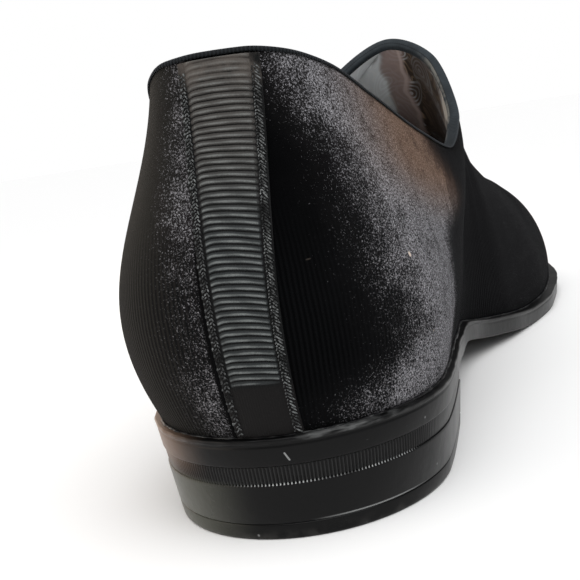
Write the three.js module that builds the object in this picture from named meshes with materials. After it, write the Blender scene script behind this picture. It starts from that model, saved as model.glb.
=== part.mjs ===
// A man's velvet slipper loafer for the left foot, standing empty on its sole.
// Millimetres, +Z up, the toe towards +Y and the medial (inner) side towards +X.
// The origin is on the floor under the middle of the heel.
import * as THREE from 'three';

// Sole and last, seen from above
const soleLength = 296;
const heelWidth = 68;
const waistWidth = 66;
const ballWidth = 102;
const heelRound = 38; // length over which the back of the heel rounds off
const toeRound = 70; // length over which the toe rounds off
const toeSwing = 4; // how far the toe swings to the medial side

// Sole and heel, seen from the side
const seatHeight = 22; // top of the sole at the heel, above the floor
const soleThickness = 6;
const toeSpring = 7;
const heelLength = 70;
const heelTaper = 2.8; // inward slope of the heel's side, from the seat down to the floor
const breastBow = 2.5; // hollow of the heel's front face
const topPieceHeight = 3.4;
const randHeight = 3.8;
const randRecess = 0.7;
const grooveDepth = 0.5; // groove under the lip of the sole's edge
const cornerChamfer = 0.6;
const seatRunOn = 2; // the seat stays level this far past the heel

// Upper
const upperWall = 2.2;
const backHeight = 96.5;
const medialDip = 69; // lowest height of the collar on the medial side
const lateralDip = 63;
const tongueHeight = 101;
const tongueReach = 127; // tongue tip, from the back of the heel
const tongueShift = 12.5; // the instep lies this far to the medial side
const backLean = 5; // the collar's back stands this far ahead of the heel's back
const collarWidth = 58;
const vampEnd = 262; // where the top of the toe box begins to fall
const toeBoxHeight = 45;
const seatMargin = 1.6; // the sole shows this much outside the upper at the heel
const foreMargin = 3.2; // and this much at the forefoot

// Trims and the inside
const fitGap = 0.3; // clearance between pieces that follow a curve
const bindingThickness = 0.6;
const bindingClearance = 0.45; // between the binding and the wall it is folded over
const bindingOutside = 1.4;
const bindingInside = 2.8;
const ribbonThickness = 0.8;
const ribbonTopWidth = 16.4;
const ribbonFootWidth = 13.6;
const ribbonOffset = 3.5; // the ribbon's middle lies this far to the medial side of the back
const insoleThickness = 2.5;
const bindingRound = 0.9; // rounding of the binding's corners, as a share of its thickness

// How finely the surfaces are stepped
const collarSteps = 17;
const throatSteps = 12;
const vampSteps = 20;
const wallSteps = 12;
const ribbonSteps = 6;
const heelSideSteps = 16;
const heelBreastSteps = 8;
const angleProbe = 0.001; // small angle used to find a direction
const ridgeProbe = 0.5; // and small length
const ribbonProbe = 0.05; // angle over which the ribbon's width is measured

const heelCentre = heelRound;
const seatEnd = heelLength + seatRunOn;
const seatUnderside = seatHeight - soleThickness;
const radians = Math.PI / 180;
const tipAngle = 91 * radians; // angle of the tongue's tip along the feather line
const vampCrowding = 1.35; // draws the vamp's sections together towards the toe

// Half widths of the sole, as shares of a named width, at shares of the sole's length
const medialPlan = [
  { along: 0, size: heelWidth, share: 0.5 },
  { along: 0.12, size: heelWidth, share: 0.5 },
  { along: 0.26, size: heelWidth, share: 0.46 },
  { along: 0.42, size: waistWidth, share: 0.42 },
  { along: 0.56, size: ballWidth, share: 0.375 },
  { along: 0.7, size: ballWidth, share: 0.455 },
  { along: 0.8, size: ballWidth, share: 0.46 },
  { along: 1, size: ballWidth, share: 0.42 },
];
const lateralPlan = [
  { along: 0, size: heelWidth, share: 0.5 },
  { along: 0.12, size: heelWidth, share: 0.5 },
  { along: 0.26, size: heelWidth, share: 0.5 },
  { along: 0.42, size: waistWidth, share: 0.56 },
  { along: 0.56, size: ballWidth, share: 0.485 },
  { along: 0.68, size: ballWidth, share: 0.54 },
  { along: 0.8, size: ballWidth, share: 0.53 },
  { along: 1, size: ballWidth, share: 0.44 },
];

// Top of the sole: shares of the length ahead of the seat, of the seat's rise and of the toe spring
const soleProfile = [
  { ahead: 0, rise: 1, spring: 0 },
  { ahead: 0.158, rise: 0.76, spring: 0 },
  { ahead: 0.342, rise: 0.26, spring: 0 },
  { ahead: 0.5, rise: 0, spring: 0 },
  { ahead: 0.632, rise: 0, spring: 0 },
  { ahead: 0.816, rise: 0, spring: 0.27 },
  { ahead: 1, rise: 0, spring: 1 },
];

// Section of the sole's edge from the bottom up: shares of the thickness, taper, groove and chamfer
const soleEdge = [
  { up: 0, taper: 1, groove: 0, chamfer: 1 },
  { up: 0.1, taper: 0.9, groove: 0, chamfer: 0 },
  { up: 0.72, taper: 0.28, groove: 0, chamfer: 0 },
  { up: 0.77, taper: 0.23, groove: 1, chamfer: 0 },
  { up: 0.83, taper: 0.17, groove: 1, chamfer: 0 },
  { up: 0.88, taper: 0.12, groove: 0, chamfer: 0 },
  { up: 1, taper: 0, groove: 0, chamfer: 0.4 },
];

// The collar's edge, once round from the tongue's tip over the lateral side, back and medial side.
// turn: share of the way from the back to the tip; along: of the collar's length; across: of its
// width; shift: of the tongue's shift; back, tongue: of the rise from the dip to the back or tongue
const collarRing = [
  { turn: -0.92, along: 0.975, across: -0.26, shift: 0.85, back: 0, tongue: 0.78 },
  { turn: -0.834, along: 0.893, across: -0.431, shift: 0.6, back: 0, tongue: 0.25 },
  { turn: -0.745, along: 0.746, across: -0.483, shift: 0.4, back: 0, tongue: 0 },
  { turn: -0.63, along: 0.543, across: -0.448, shift: 0.2, back: 0.129, tongue: 0 },
  { turn: -0.474, along: 0.315, across: -0.39, shift: 0.05, back: 0.434, tongue: 0 },
  { turn: -0.351, along: 0.156, across: -0.319, shift: 0, back: 0.745, tongue: 0 },
  { turn: -0.234, along: 0.053, across: -0.226, shift: 0, back: 0.925, tongue: 0 },
  { turn: -0.117, along: 0.011, across: -0.126, shift: 0, back: 0.988, tongue: 0 },
  { turn: 0, along: 0, across: 0, shift: 0, back: 1, tongue: 0 },
  { turn: 0.117, along: 0.011, across: 0.15, shift: 0, back: 0.993, tongue: 0 },
  { turn: 0.234, along: 0.053, across: 0.27, shift: 0, back: 0.945, tongue: 0 },
  { turn: 0.351, along: 0.156, across: 0.357, shift: 0, back: 0.817, tongue: 0 },
  { turn: 0.474, along: 0.315, across: 0.398, shift: 0.05, back: 0.577, tongue: 0 },
  { turn: 0.63, along: 0.543, across: 0.448, shift: 0.2, back: 0.204, tongue: 0 },
  { turn: 0.745, along: 0.746, across: 0.457, shift: 0.4, back: 0, tongue: 0 },
  { turn: 0.834, along: 0.893, across: 0.42, shift: 0.6, back: 0, tongue: 0.228 },
  { turn: 0.92, along: 0.975, across: 0.262, shift: 0.85, back: 0, tongue: 0.78 },
  { turn: 1, along: 1, across: 0, shift: 1, back: 0, tongue: 1 },
];

// The ridge from the tongue's tip to the toe box: shares of the vamp's length, the tongue's shift
// and the rise from the toe box to the tongue
const ridgeLine = [
  { along: 0, shift: 1, rise: 1 },
  { along: 0.185, shift: 0.72, rise: 0.58 },
  { along: 0.437, shift: 0.46, rise: 0.3 },
  { along: 0.704, shift: 0.34, rise: 0.135 },
  { along: 1, shift: 0.32, rise: 0 },
];

// Foot of the upper's wall, by the angle along the feather line in degrees: its slope and the
// length over which the slope acts, as a share of the wall
const wallFoot = [
  { angle: 0, flare: 18, length: 0.46, lateralFlare: 18, lateralLength: 0.46 },
  { angle: 20, flare: 16, length: 0.4, lateralFlare: 24, lateralLength: 0.5 },
  { angle: 40, flare: 14, length: 0.4, lateralFlare: 23, lateralLength: 0.49 },
  { angle: 60, flare: 10, length: 0.38, lateralFlare: 19, lateralLength: 0.46 },
  { angle: 68, flare: 8, length: 0.38, lateralFlare: 14, lateralLength: 0.42 },
  { angle: 76, flare: 5, length: 0.28, lateralFlare: 10, lateralLength: 0.42 },
  { angle: 91, flare: 3, length: 0.24, lateralFlare: 8, lateralLength: 0.43 },
  { angle: 145, flare: 10, length: 0.34, lateralFlare: 10, lateralLength: 0.44 },
  { angle: 180, flare: 12, length: 0.4, lateralFlare: 12, lateralLength: 0.4 },
];

// Top of the wall: its slope inwards and the length over which it acts, then how far the top edge
// belongs to the tongue and how far the wall sweeps there from the front
const wallTop = [
  { angle: 0, lean: 6, length: 0.36, tongue: 0, sweep: 0 },
  { angle: 20, lean: 10, length: 0.36, tongue: 0, sweep: 0 },
  { angle: 40, lean: 14, length: 0.36, tongue: 0, sweep: 0 },
  { angle: 60, lean: 18, length: 0.36, tongue: 0, sweep: 0.05 },
  { angle: 68, lean: 22, length: 0.34, tongue: 0.25, sweep: 0.3 },
  { angle: 76, lean: 34, length: 0.31, tongue: 0.8, sweep: 0.58 },
  { angle: 84, lean: 60, length: 0.3, tongue: 1, sweep: 0.62 },
  { angle: 91, lean: 90, length: 0.24, tongue: 1, sweep: 0.52 },
  { angle: 103, lean: 90, length: 0.26, tongue: 1, sweep: 0.38 },
  { angle: 120, lean: 90, length: 0.32, tongue: 1, sweep: 0.22 },
  { angle: 145, lean: 90, length: 0.43, tongue: 1, sweep: 0.08 },
  { angle: 180, lean: 90, length: 0.46, tongue: 1, sweep: 0 },
];

// A smooth curve through a table's points that never swings past them: cubics whose slopes are
// the weighted harmonic means of the slopes on both sides, or zero at a peak or a level stretch
function curveThrough(points, period = 0) {
  const last = points.length - 1;
  const wrapped = period
    ? [
        [points[last - 1][0] - period, points[last - 1][1]],
        [points[last][0] - period, points[last][1]],
        ...points,
        [points[0][0] + period, points[0][1]],
      ]
    : points;
  const count = wrapped.length;
  const widths = [];
  const slopes = [];
  for (let i = 0; i < count - 1; i += 1) {
    widths.push(wrapped[i + 1][0] - wrapped[i][0]);
    slopes.push((wrapped[i + 1][1] - wrapped[i][1]) / widths[i]);
  }
  const tangents = wrapped.map((_, i) => {
    if (i === 0) return slopes[0];
    if (i === count - 1) return slopes[count - 2];
    if (slopes[i - 1] * slopes[i] <= 0) return 0;
    const before = 2 * widths[i] + widths[i - 1];
    const after = widths[i] + 2 * widths[i - 1];
    return (before + after) / (before / slopes[i - 1] + after / slopes[i]);
  });
  return (x) => {
    const at = Math.min(Math.max(x, wrapped[0][0]), wrapped[count - 1][0]);
    let i = 0;
    while (i < count - 2 && at >= wrapped[i + 1][0]) i += 1;
    const t = (at - wrapped[i][0]) / widths[i];
    const u = 1 - t;
    return (
      (1 + 2 * t) * u * u * wrapped[i][1] +
      t * u * u * widths[i] * tangents[i] +
      t * t * (3 - 2 * t) * wrapped[i + 1][1] -
      t * t * u * widths[i] * tangents[i + 1]
    );
  };
}

const planCurve = (rows) => curveThrough(rows.map((row) => [row.along * soleLength, row.size * row.share]));
const medialHalf = planCurve(medialPlan);
const lateralHalf = planCurve(lateralPlan);

// Height of the sole's top above the floor, at a distance from the back of the heel
const soleTop = curveThrough(
  soleProfile.map((row) => [
    seatEnd + row.ahead * (soleLength - seatEnd),
    soleThickness + row.rise * (seatHeight - soleThickness) + row.spring * toeSpring,
  ]),
);

// Distance from the back of the heel at an angle round the sole: 0 at the heel, half a turn at the toe
const distanceAt = (angle) => (soleLength * (1 - Math.cos(angle))) / 2;
const angleAt = (distance) => Math.acos(1 - (2 * distance) / soleLength);
const throatStart = angleAt(heelLength + seatRunOn / 2);

// A point of the sole's outline seen from above. side is 1 for medial and -1 for lateral
function planPoint(angle, side) {
  const along = distanceAt(angle);
  const heelShare = Math.max(1 - along / heelRound, 0);
  const toeShare = Math.max(1 - (soleLength - along) / toeRound, 0);
  const ends = Math.sqrt(1 - heelShare * heelShare) * Math.sqrt(1 - toeShare * toeShare);
  const half = side > 0 ? medialHalf(along) : lateralHalf(along);
  const swing = toeSwing * toeShare * toeShare;
  return new THREE.Vector2(side * half * ends + swing, along);
}

// The outward direction square to the outline
function planNormal(angle, side) {
  if (angle < angleProbe) return new THREE.Vector2(0, -1);
  if (angle > Math.PI - angleProbe) return new THREE.Vector2(0, 1);
  const run = planPoint(angle + angleProbe, side).sub(planPoint(angle - angleProbe, side));
  return new THREE.Vector2(run.y, -run.x).multiplyScalar(side).normalize();
}

// A point of the outline moved inwards, at a height that may depend on the place along the shoe
function insetPoint(angle, side, inset, heightAt) {
  const point = planPoint(angle, side).addScaledVector(planNormal(angle, side), -inset);
  return new THREE.Vector3(point.x, point.y, heightAt(point.y));
}

const collarColumn = (value) => curveThrough(collarRing.map((row) => [row.turn, value(row)]), 2);
const dipOf = (row) => (row.turn > 0 ? medialDip : lateralDip);
const collarAcross = collarColumn((row) => row.across * collarWidth + row.shift * tongueShift);
const collarAlong = collarColumn((row) => backLean + row.along * (tongueReach - backLean));
const collarHeight = collarColumn(
  (row) =>
    dipOf(row) + row.back * (backHeight - dipOf(row)) + row.tongue * (tongueHeight - dipOf(row)),
);

const vampLength = vampEnd - tongueReach;
const ridgeAlong = (row) => tongueReach + row.along * vampLength;
const ridgeAcross = curveThrough(ridgeLine.map((row) => [ridgeAlong(row), row.shift * tongueShift]));
const ridgeHeight = curveThrough(
  ridgeLine.map((row) => [ridgeAlong(row), toeBoxHeight + row.rise * (tongueHeight - toeBoxHeight)]),
);

// The upper's top edge: the collar up to the tongue's tip, then the ridge of the vamp
function topPoint(angle, side) {
  if (angle <= tipAngle) {
    const turn = (side * angle) / tipAngle;
    return new THREE.Vector3(collarAcross(turn), collarAlong(turn), collarHeight(turn));
  }
  const left = (Math.PI - angle) / (Math.PI - tipAngle);
  const along = tongueReach + vampLength * (1 - left ** vampCrowding);
  return new THREE.Vector3(ridgeAcross(along), along, ridgeHeight(along));
}

// Direction along the ridge, forwards and down, at a distance from the back of the heel
function ridgeRun(along) {
  const from = Math.max(along - ridgeProbe, tongueReach);
  const to = Math.min(along + ridgeProbe, vampEnd);
  return new THREE.Vector3(0, to - from, ridgeHeight(to) - ridgeHeight(from)).normalize();
}

const wallColumn = (rows, key) => curveThrough(rows.map((row) => [row.angle * radians, row[key]]));
const wallLean = wallColumn(wallTop, 'lean');
const wallHigh = wallColumn(wallTop, 'length');
const wallTongue = wallColumn(wallTop, 'tongue');
const wallSweep = wallColumn(wallTop, 'sweep');
const wallSides = {
  1: { flare: wallColumn(wallFoot, 'flare'), low: wallColumn(wallFoot, 'length') },
  [-1]: { flare: wallColumn(wallFoot, 'lateralFlare'), low: wallColumn(wallFoot, 'lateralLength') },
};

// The direction in which the wall arrives at its top edge. It keeps to the plane of the edge's run
// and of the way off it; along the tongue that plane follows the ridge, so the tongue is an arch
function arrival(angle, side) {
  const normal = planNormal(angle, side);
  const lean = wallLean(angle) * radians;
  const ridge = ridgeRun(topPoint(Math.max(angle, tipAngle), side).y);
  const inward = new THREE.Vector3(-normal.x, -normal.y, (-normal.y * ridge.z) / ridge.y);
  const plain = inward.normalize().multiplyScalar(Math.sin(lean));
  plain.z += Math.cos(lean);
  const off = plain.clone().lerp(ridge.clone().negate(), wallTongue(angle));
  const arrive = plain.lerp(off, wallSweep(angle));
  if (angle > tipAngle) return arrive.normalize();
  const after = topPoint(Math.min(angle + angleProbe, tipAngle), side);
  const run = after.sub(topPoint(Math.max(angle - angleProbe, 0), side));
  const out = run.cross(off).normalize();
  return arrive.addScaledVector(out, -arrive.dot(out)).normalize();
}

const upperMargin = curveThrough([
  [0, seatMargin],
  [heelLength, seatMargin],
  [soleLength / 2, foreMargin],
  [soleLength, foreMargin],
]);

// The upper's outer surface: at each angle a cubic curve rises from the feather line, where the
// upper meets the sole, to the top edge
function upperSection(angle, side) {
  const normal = planNormal(angle, side);
  const margin = upperMargin(distanceAt(angle));
  const foot = insetPoint(angle, side, margin, (along) => soleTop(along) + fitGap);
  const top = topPoint(angle, side);
  const chord = foot.distanceTo(top);
  const flare = wallSides[side].flare(angle) * radians;
  const rise = new THREE.Vector3(normal.x, normal.y, 0).multiplyScalar(Math.sin(flare));
  rise.z = Math.cos(flare);
  const low = foot.clone().addScaledVector(rise, chord * wallSides[side].low(angle));
  const high = top.clone().addScaledVector(arrival(angle, side), -chord * wallHigh(angle));
  return new THREE.CubicBezierCurve3(foot, low, high, top);
}

// Puts the shoe's own lengthwise measure into the part's frame, with its origin under the heel
const placed = (point) => new THREE.Vector3(point.x, point.y - heelCentre, point.z);

// Gathers points and triangles; points at the same place are stored once
class Skin {
  constructor() {
    this.points = [];
    this.faces = [];
    this.seen = new Map();
  }

  add(point) {
    const key = [point.x, point.y, point.z].map((value) => Math.round(value * 1000)).join(' ');
    if (!this.seen.has(key)) {
      this.seen.set(key, this.points.length);
      this.points.push(point);
    }
    return this.seen.get(key);
  }

  triangle(a, b, c) {
    if (a !== b && b !== c && a !== c) this.faces.push([a, b, c]);
  }

  quad(a, b, c, d) {
    this.triangle(a, b, c);
    this.triangle(a, c, d);
  }

  // A sheet of quads over rows of points, or over a ring where the last row meets the first
  sheet(rows, closedRows = false, closedColumns = false) {
    const ids = rows.map((row) => row.map((point) => this.add(point)));
    const lastRow = closedRows ? ids.length : ids.length - 1;
    const lastColumn = closedColumns ? ids[0].length : ids[0].length - 1;
    for (let i = 0; i < lastRow; i += 1) {
      const row = ids[i];
      const next = ids[(i + 1) % ids.length];
      for (let j = 0; j < lastColumn; j += 1) {
        const k = (j + 1) % row.length;
        this.quad(row[j], row[k], next[k], next[j]);
      }
    }
    return ids;
  }

  faceNormal(face) {
    const [a, b, c] = face.map((id) => this.points[id]);
    return b.clone().sub(a).cross(c.clone().sub(a));
  }

  normals() {
    const sums = this.points.map(() => new THREE.Vector3());
    for (const face of this.faces) {
      const across = this.faceNormal(face);
      face.forEach((id) => sums[id].add(across));
    }
    return sums.map((sum) => sum.normalize());
  }

  // Edges that belong to one triangle only, with that triangle's outward direction
  openEdges() {
    const edges = new Map();
    for (const face of this.faces) {
      face.forEach((from, k) => {
        const to = face[(k + 1) % 3];
        if (edges.delete(`${to} ${from}`)) return;
        edges.set(`${from} ${to}`, { from, to, out: this.faceNormal(face).normalize() });
      });
    }
    return [...edges.values()];
  }

  // At each point of an open edge, the outward direction between its two outermost triangles
  rimDirections() {
    const sums = new Map();
    for (const { from, to, out } of this.openEdges()) {
      for (const id of [from, to]) sums.set(id, (sums.get(id) ?? new THREE.Vector3()).add(out));
    }
    sums.forEach((sum) => sum.normalize());
    return sums;
  }

  // Turns an open sheet into a closed wall, with its other face where innerPoint puts it
  thicken(innerPoint) {
    const normals = this.normals();
    const edges = this.openEdges();
    const count = this.points.length;
    const outerFaces = [...this.faces];
    const inner = this.points.map((point, id) => innerPoint(point, normals[id], id));
    this.points.push(...inner);
    outerFaces.forEach(([a, b, c]) => this.faces.push([a + count, c + count, b + count]));
    edges.forEach(({ from, to }) => {
      this.faces.push([to, from, from + count], [to, from + count, to + count]);
    });
  }

  geometry() {
    const volume = this.faces.reduce((sum, [a, b, c]) => {
      const cross = this.points[b].clone().cross(this.points[c]);
      return sum + this.points[a].dot(cross);
    }, 0);
    const order = volume > 0 ? [0, 1, 2] : [0, 2, 1];
    const geometry = new THREE.BufferGeometry().setFromPoints(this.points);
    geometry.setIndex(this.faces.flatMap((face) => order.map((k) => face[k])));
    geometry.computeVertexNormals();
    return geometry;
  }
}

function angleSteps() {
  const angles = [];
  for (let i = 0; i < collarSteps; i += 1) angles.push((throatStart * i) / collarSteps);
  for (let i = 0; i < throatSteps; i += 1) {
    angles.push(throatStart + ((tipAngle - throatStart) * i) / throatSteps);
  }
  for (let i = 0; i <= vampSteps; i += 1) {
    angles.push(tipAngle + ((Math.PI - tipAngle) * i) / vampSteps);
  }
  return angles;
}

// The upper's outer sheet, open at the collar and underneath
function upperSheet() {
  const skin = new Skin();
  const feather = new Set();
  for (const side of [-1, 1]) {
    const rows = angleSteps().map((angle) => upperSection(angle, side).getPoints(wallSteps).map(placed));
    const ids = skin.sheet(side < 0 ? rows : rows.reverse());
    ids.forEach((row) => feather.add(row[0]));
  }
  const rim = skin.rimDirections();
  feather.forEach((id) => rim.get(id)?.setZ(0).normalize());
  return { skin, rim };
}

// The upper: its sheet thickened inwards to one wall
function makeUpper() {
  const { skin, rim } = upperSheet();
  skin.thicken((point, normal, id) => point.clone().addScaledVector(rim.get(id) ?? normal, -upperWall));
  return skin.geometry();
}

// Stations once round the collar's edge, each with the directions off the edge and out of the wall
function collarStations() {
  const { skin, rim } = upperSheet();
  const angles = angleSteps().filter((angle) => angle <= tipAngle);
  const round = [
    ...angles.slice(1).reverse().map((angle) => [angle, -1]),
    ...angles.slice(0, -1).map((angle) => [angle, 1]),
  ];
  const edges = round.map(([angle, side]) => placed(topPoint(angle, side)));
  return edges.map((edge, i) => {
    const before = edges[(i + edges.length - 1) % edges.length];
    const after = edges[(i + 1) % edges.length];
    const run = after.clone().sub(before);
    const out = rim.get(skin.add(edge));
    return { edge, out, away: out.clone().cross(run).normalize() };
  });
}

// The binding: a channel folded over the collar's edge, deeper inside than outside
function makeBinding() {
  const outer = bindingClearance + bindingThickness;
  const inner = -upperWall - bindingClearance;
  const round = bindingThickness * bindingRound;
  const section = [
    [bindingClearance, -bindingOutside],
    [outer, -bindingOutside],
    [outer, outer - round],
    [outer - round, outer],
    [inner - bindingThickness + round, outer],
    [inner - bindingThickness, outer - round],
    [inner - bindingThickness, -bindingInside],
    [inner, -bindingInside],
    [inner, bindingClearance],
    [bindingClearance, bindingClearance],
  ];
  const skin = new Skin();
  const rows = collarStations().map(({ edge, away, out }) =>
    section.map(([across, up]) => edge.clone().addScaledVector(out, across).addScaledVector(away, up)),
  );
  skin.sheet(rows, true, true);
  return skin.geometry();
}

// The ribbon down the back: a strip that follows the upper's own surface
function makeRibbon() {
  const side = (turn) => (turn < 0 ? -1 : 1);
  const footGap = fitGap / (backHeight - seatHeight);
  const topGap = (bindingOutside + fitGap) / (backHeight - seatHeight);
  const surface = (turn, up) => upperSection(Math.abs(turn), side(turn)).getPoint(up);
  const skin = new Skin();
  const rows = [];
  for (let i = 0; i <= wallSteps; i += 1) {
    const share = i / wallSteps;
    const up = footGap + (1 - footGap - topGap) * share;
    const halfWidth = (ribbonFootWidth + (ribbonTopWidth - ribbonFootWidth) * share) / 2;
    const anglePerWidth = ribbonProbe / surface(0, up).distanceTo(surface(ribbonProbe, up));
    const row = [];
    for (let j = 0; j <= ribbonSteps; j += 1) {
      const across = ribbonOffset + halfWidth * ((2 * j) / ribbonSteps - 1);
      row.push(placed(surface(across * anglePerWidth, up)));
    }
    rows.push(row);
  }
  skin.sheet(rows);
  const normals = skin.normals();
  skin.points = skin.points.map((point, id) =>
    point.clone().addScaledVector(normals[id], fitGap + ribbonThickness),
  );
  skin.thicken((point, normal) => point.clone().addScaledVector(normal, -ribbonThickness));
  return skin.geometry();
}

// One turn round a piece seen from above: along the medial side, then back along the lateral one
function wholeRing(inset, heightAt) {
  const angles = angleSteps();
  const inner = angles.slice(1, -1);
  return [
    ...angles.map((angle) => insetPoint(angle, 1, inset(angle), heightAt)),
    ...inner.reverse().map((angle) => insetPoint(angle, -1, inset(angle), heightAt)),
  ].map(placed);
}

// Closes a stack of rings. Each cap is laid in bands from the medial to the lateral side
function stackRings(rings) {
  const skin = new Skin();
  const ids = skin.sheet(rings, false, true);
  const count = rings[0].length;
  const cap = (ring, up) => {
    for (let i = 0; i < count / 2; i += 1) {
      const band = [ring[i], ring[i + 1], ring[count - i - 1], ring[(count - i) % count]];
      if (!up) band.reverse();
      skin.quad(...band);
    }
  };
  cap(ids[0], false);
  cap(ids[ids.length - 1], true);
  return skin.geometry();
}

// The outsole: level seat, arched shank, flat ball and toe spring, with a groove under its lip
function makeOutsole() {
  const edgeTaper = (heelTaper * soleThickness) / seatHeight;
  const rings = soleEdge.map((row) => {
    const inset = row.taper * edgeTaper + row.groove * grooveDepth + row.chamfer * cornerChamfer;
    const drop = (1 - row.up) * soleThickness;
    return wholeRing(
      () => inset,
      (along) => soleTop(along) - drop,
    );
  });
  return stackRings(rings);
}

// The insole lies on the outsole, inside the foot of the upper's wall
function makeInsole() {
  const inset = (angle) => upperMargin(distanceAt(angle)) + upperWall + fitGap;
  const rings = [0, insoleThickness].map((height) =>
    wholeRing(inset, (along) => soleTop(along) + fitGap + height),
  );
  return stackRings(rings);
}

// The heel's outline at a height, its side sloping in towards the floor and its front hollowed
function heelRing(height, recess) {
  const inset = heelTaper * (1 - height / seatHeight) + recess;
  const lastAngle = angleAt(heelLength);
  const ring = [];
  for (const side of [1, -1]) {
    const points = [];
    for (let i = 0; i <= heelSideSteps; i += 1) {
      points.push(insetPoint((lastAngle * i) / heelSideSteps, side, inset, () => height));
    }
    ring.push(points);
  }
  const [medial, lateral] = ring;
  const breast = [];
  for (let i = 1; i < heelBreastSteps; i += 1) {
    const share = i / heelBreastSteps;
    const point = medial[heelSideSteps].clone().lerp(lateral[heelSideSteps], share);
    point.y -= breastBow * 4 * share * (1 - share);
    breast.push(point);
  }
  return [...medial, ...breast, ...lateral.slice(1).reverse()].map(placed);
}

// A layer of the heel between two heights, with flat faces above and below
function makeHeelLayer(bottom, top, recess) {
  const rings = [heelRing(bottom, recess), heelRing(top, recess)];
  const skin = new Skin();
  const ids = skin.sheet(rings, false, true);
  const outline = rings[0].map((point) => new THREE.Vector2(point.x, point.y));
  for (const [a, b, c] of THREE.ShapeUtils.triangulateShape(outline, [])) {
    skin.triangle(ids[0][c], ids[0][b], ids[0][a]);
    skin.triangle(ids[1][a], ids[1][b], ids[1][c]);
  }
  return skin.geometry();
}

const velvet = new THREE.MeshStandardMaterial({ color: 0x1d1b20, roughness: 0.95 });
const grosgrain = new THREE.MeshStandardMaterial({ color: 0x3a3f3e, roughness: 0.8 });
const bindingCloth = new THREE.MeshStandardMaterial({ color: 0x2b2f33, roughness: 0.85 });
const lining = new THREE.MeshStandardMaterial({ color: 0x8a8176, roughness: 0.6 });
const rubber = new THREE.MeshStandardMaterial({ color: 0x1b1714, roughness: 0.3 });

const group = new THREE.Group();

function addPiece(name, geometry, material) {
  const mesh = new THREE.Mesh(geometry, material);
  mesh.name = name;
  group.add(mesh);
}

const randBottom = seatUnderside - randHeight;
addPiece('upper', makeUpper(), velvet);
addPiece('topline_binding', makeBinding(), bindingCloth);
addPiece('backstay_ribbon', makeRibbon(), grosgrain);
addPiece('insole', makeInsole(), lining);
addPiece('outsole', makeOutsole(), rubber);
addPiece('heel_rand', makeHeelLayer(randBottom, seatUnderside, randRecess), rubber);
addPiece('heel_block', makeHeelLayer(topPieceHeight, randBottom, 0), rubber);
addPiece('heel_top_piece', makeHeelLayer(0, topPieceHeight, 0), rubber);

export default group;
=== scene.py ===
import bpy
import numpy as np
from mathutils import Matrix


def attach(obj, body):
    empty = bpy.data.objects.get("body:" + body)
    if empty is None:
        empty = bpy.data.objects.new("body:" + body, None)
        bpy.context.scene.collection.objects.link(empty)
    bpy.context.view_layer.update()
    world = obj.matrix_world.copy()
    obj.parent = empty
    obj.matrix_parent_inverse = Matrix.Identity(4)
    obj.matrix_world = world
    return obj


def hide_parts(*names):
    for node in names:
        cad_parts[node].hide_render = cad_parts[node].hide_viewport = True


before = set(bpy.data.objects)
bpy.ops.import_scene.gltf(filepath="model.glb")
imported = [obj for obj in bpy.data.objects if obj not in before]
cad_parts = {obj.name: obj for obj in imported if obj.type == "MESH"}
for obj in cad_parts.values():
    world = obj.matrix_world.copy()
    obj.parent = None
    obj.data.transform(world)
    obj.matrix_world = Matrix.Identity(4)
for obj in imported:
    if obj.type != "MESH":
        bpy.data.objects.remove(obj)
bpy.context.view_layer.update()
print("frame loaded")

mm = 0.001

photoCamera = {
    "place": (72.57, -217.57, 81.29),
    "turn": -18.41,  # degrees from the shoe's length, towards its lateral side
    "down": 9.09,
    "roll": -8.94,
    "lens": 63.5,
    "sensor": 36.0,
}


def addObject(name, data):
    made = bpy.data.objects.new(name, data)
    bpy.context.collection.objects.link(made)
    return made


# Aims along the turned and lowered axis, then rolls the picture about it
def placeCamera():
    turn, down, roll = np.radians([photoCamera[key] for key in ("turn", "down", "roll")])
    ahead = np.array([np.sin(turn) * np.cos(down), np.cos(turn) * np.cos(down), -np.sin(down)])
    right = np.array([np.cos(turn), -np.sin(turn), 0.0])
    up = np.cross(right, ahead)
    rolledRight = np.cos(roll) * right + np.sin(roll) * up
    rolledUp = np.cos(roll) * up - np.sin(roll) * right
    data = bpy.data.cameras.new("camera")
    data.lens = photoCamera["lens"]
    data.sensor_width = photoCamera["sensor"]
    data.clip_start = 0.01
    camera = addObject("camera", data)
    turned = Matrix([rolledRight, rolledUp, -ahead]).transposed().to_4x4()
    camera.matrix_world = Matrix.Translation(np.array(photoCamera["place"]) * mm) @ turned
    bpy.context.scene.camera = camera


placeCamera()

last = {
    "length": 296.0,
    "heelWidth": 68.0,
    "waistWidth": 66.0,
    "ballWidth": 102.0,
    "heelRound": 38.0,
    "toeRound": 70.0,
    "toeSwing": 4.0,
    "seatHeight": 22.0,
    "soleThickness": 6.0,
    "toeSpring": 7.0,
    "heelLength": 70.0,
    "seatRunOn": 2.0,
    "seatMargin": 1.6,
    "foreMargin": 3.2,
    "gap": 0.3,
}

# Half widths of the sole: share of its length, the width meant, share of that width
medialPlan = [
    (0, "heelWidth", 0.5),
    (0.12, "heelWidth", 0.5),
    (0.26, "heelWidth", 0.46),
    (0.42, "waistWidth", 0.42),
    (0.56, "ballWidth", 0.375),
    (0.7, "ballWidth", 0.455),
    (0.8, "ballWidth", 0.46),
    (1, "ballWidth", 0.42),
]
lateralPlan = [
    (0, "heelWidth", 0.5),
    (0.12, "heelWidth", 0.5),
    (0.26, "heelWidth", 0.5),
    (0.42, "waistWidth", 0.56),
    (0.56, "ballWidth", 0.485),
    (0.68, "ballWidth", 0.54),
    (0.8, "ballWidth", 0.53),
    (1, "ballWidth", 0.44),
]

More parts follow.
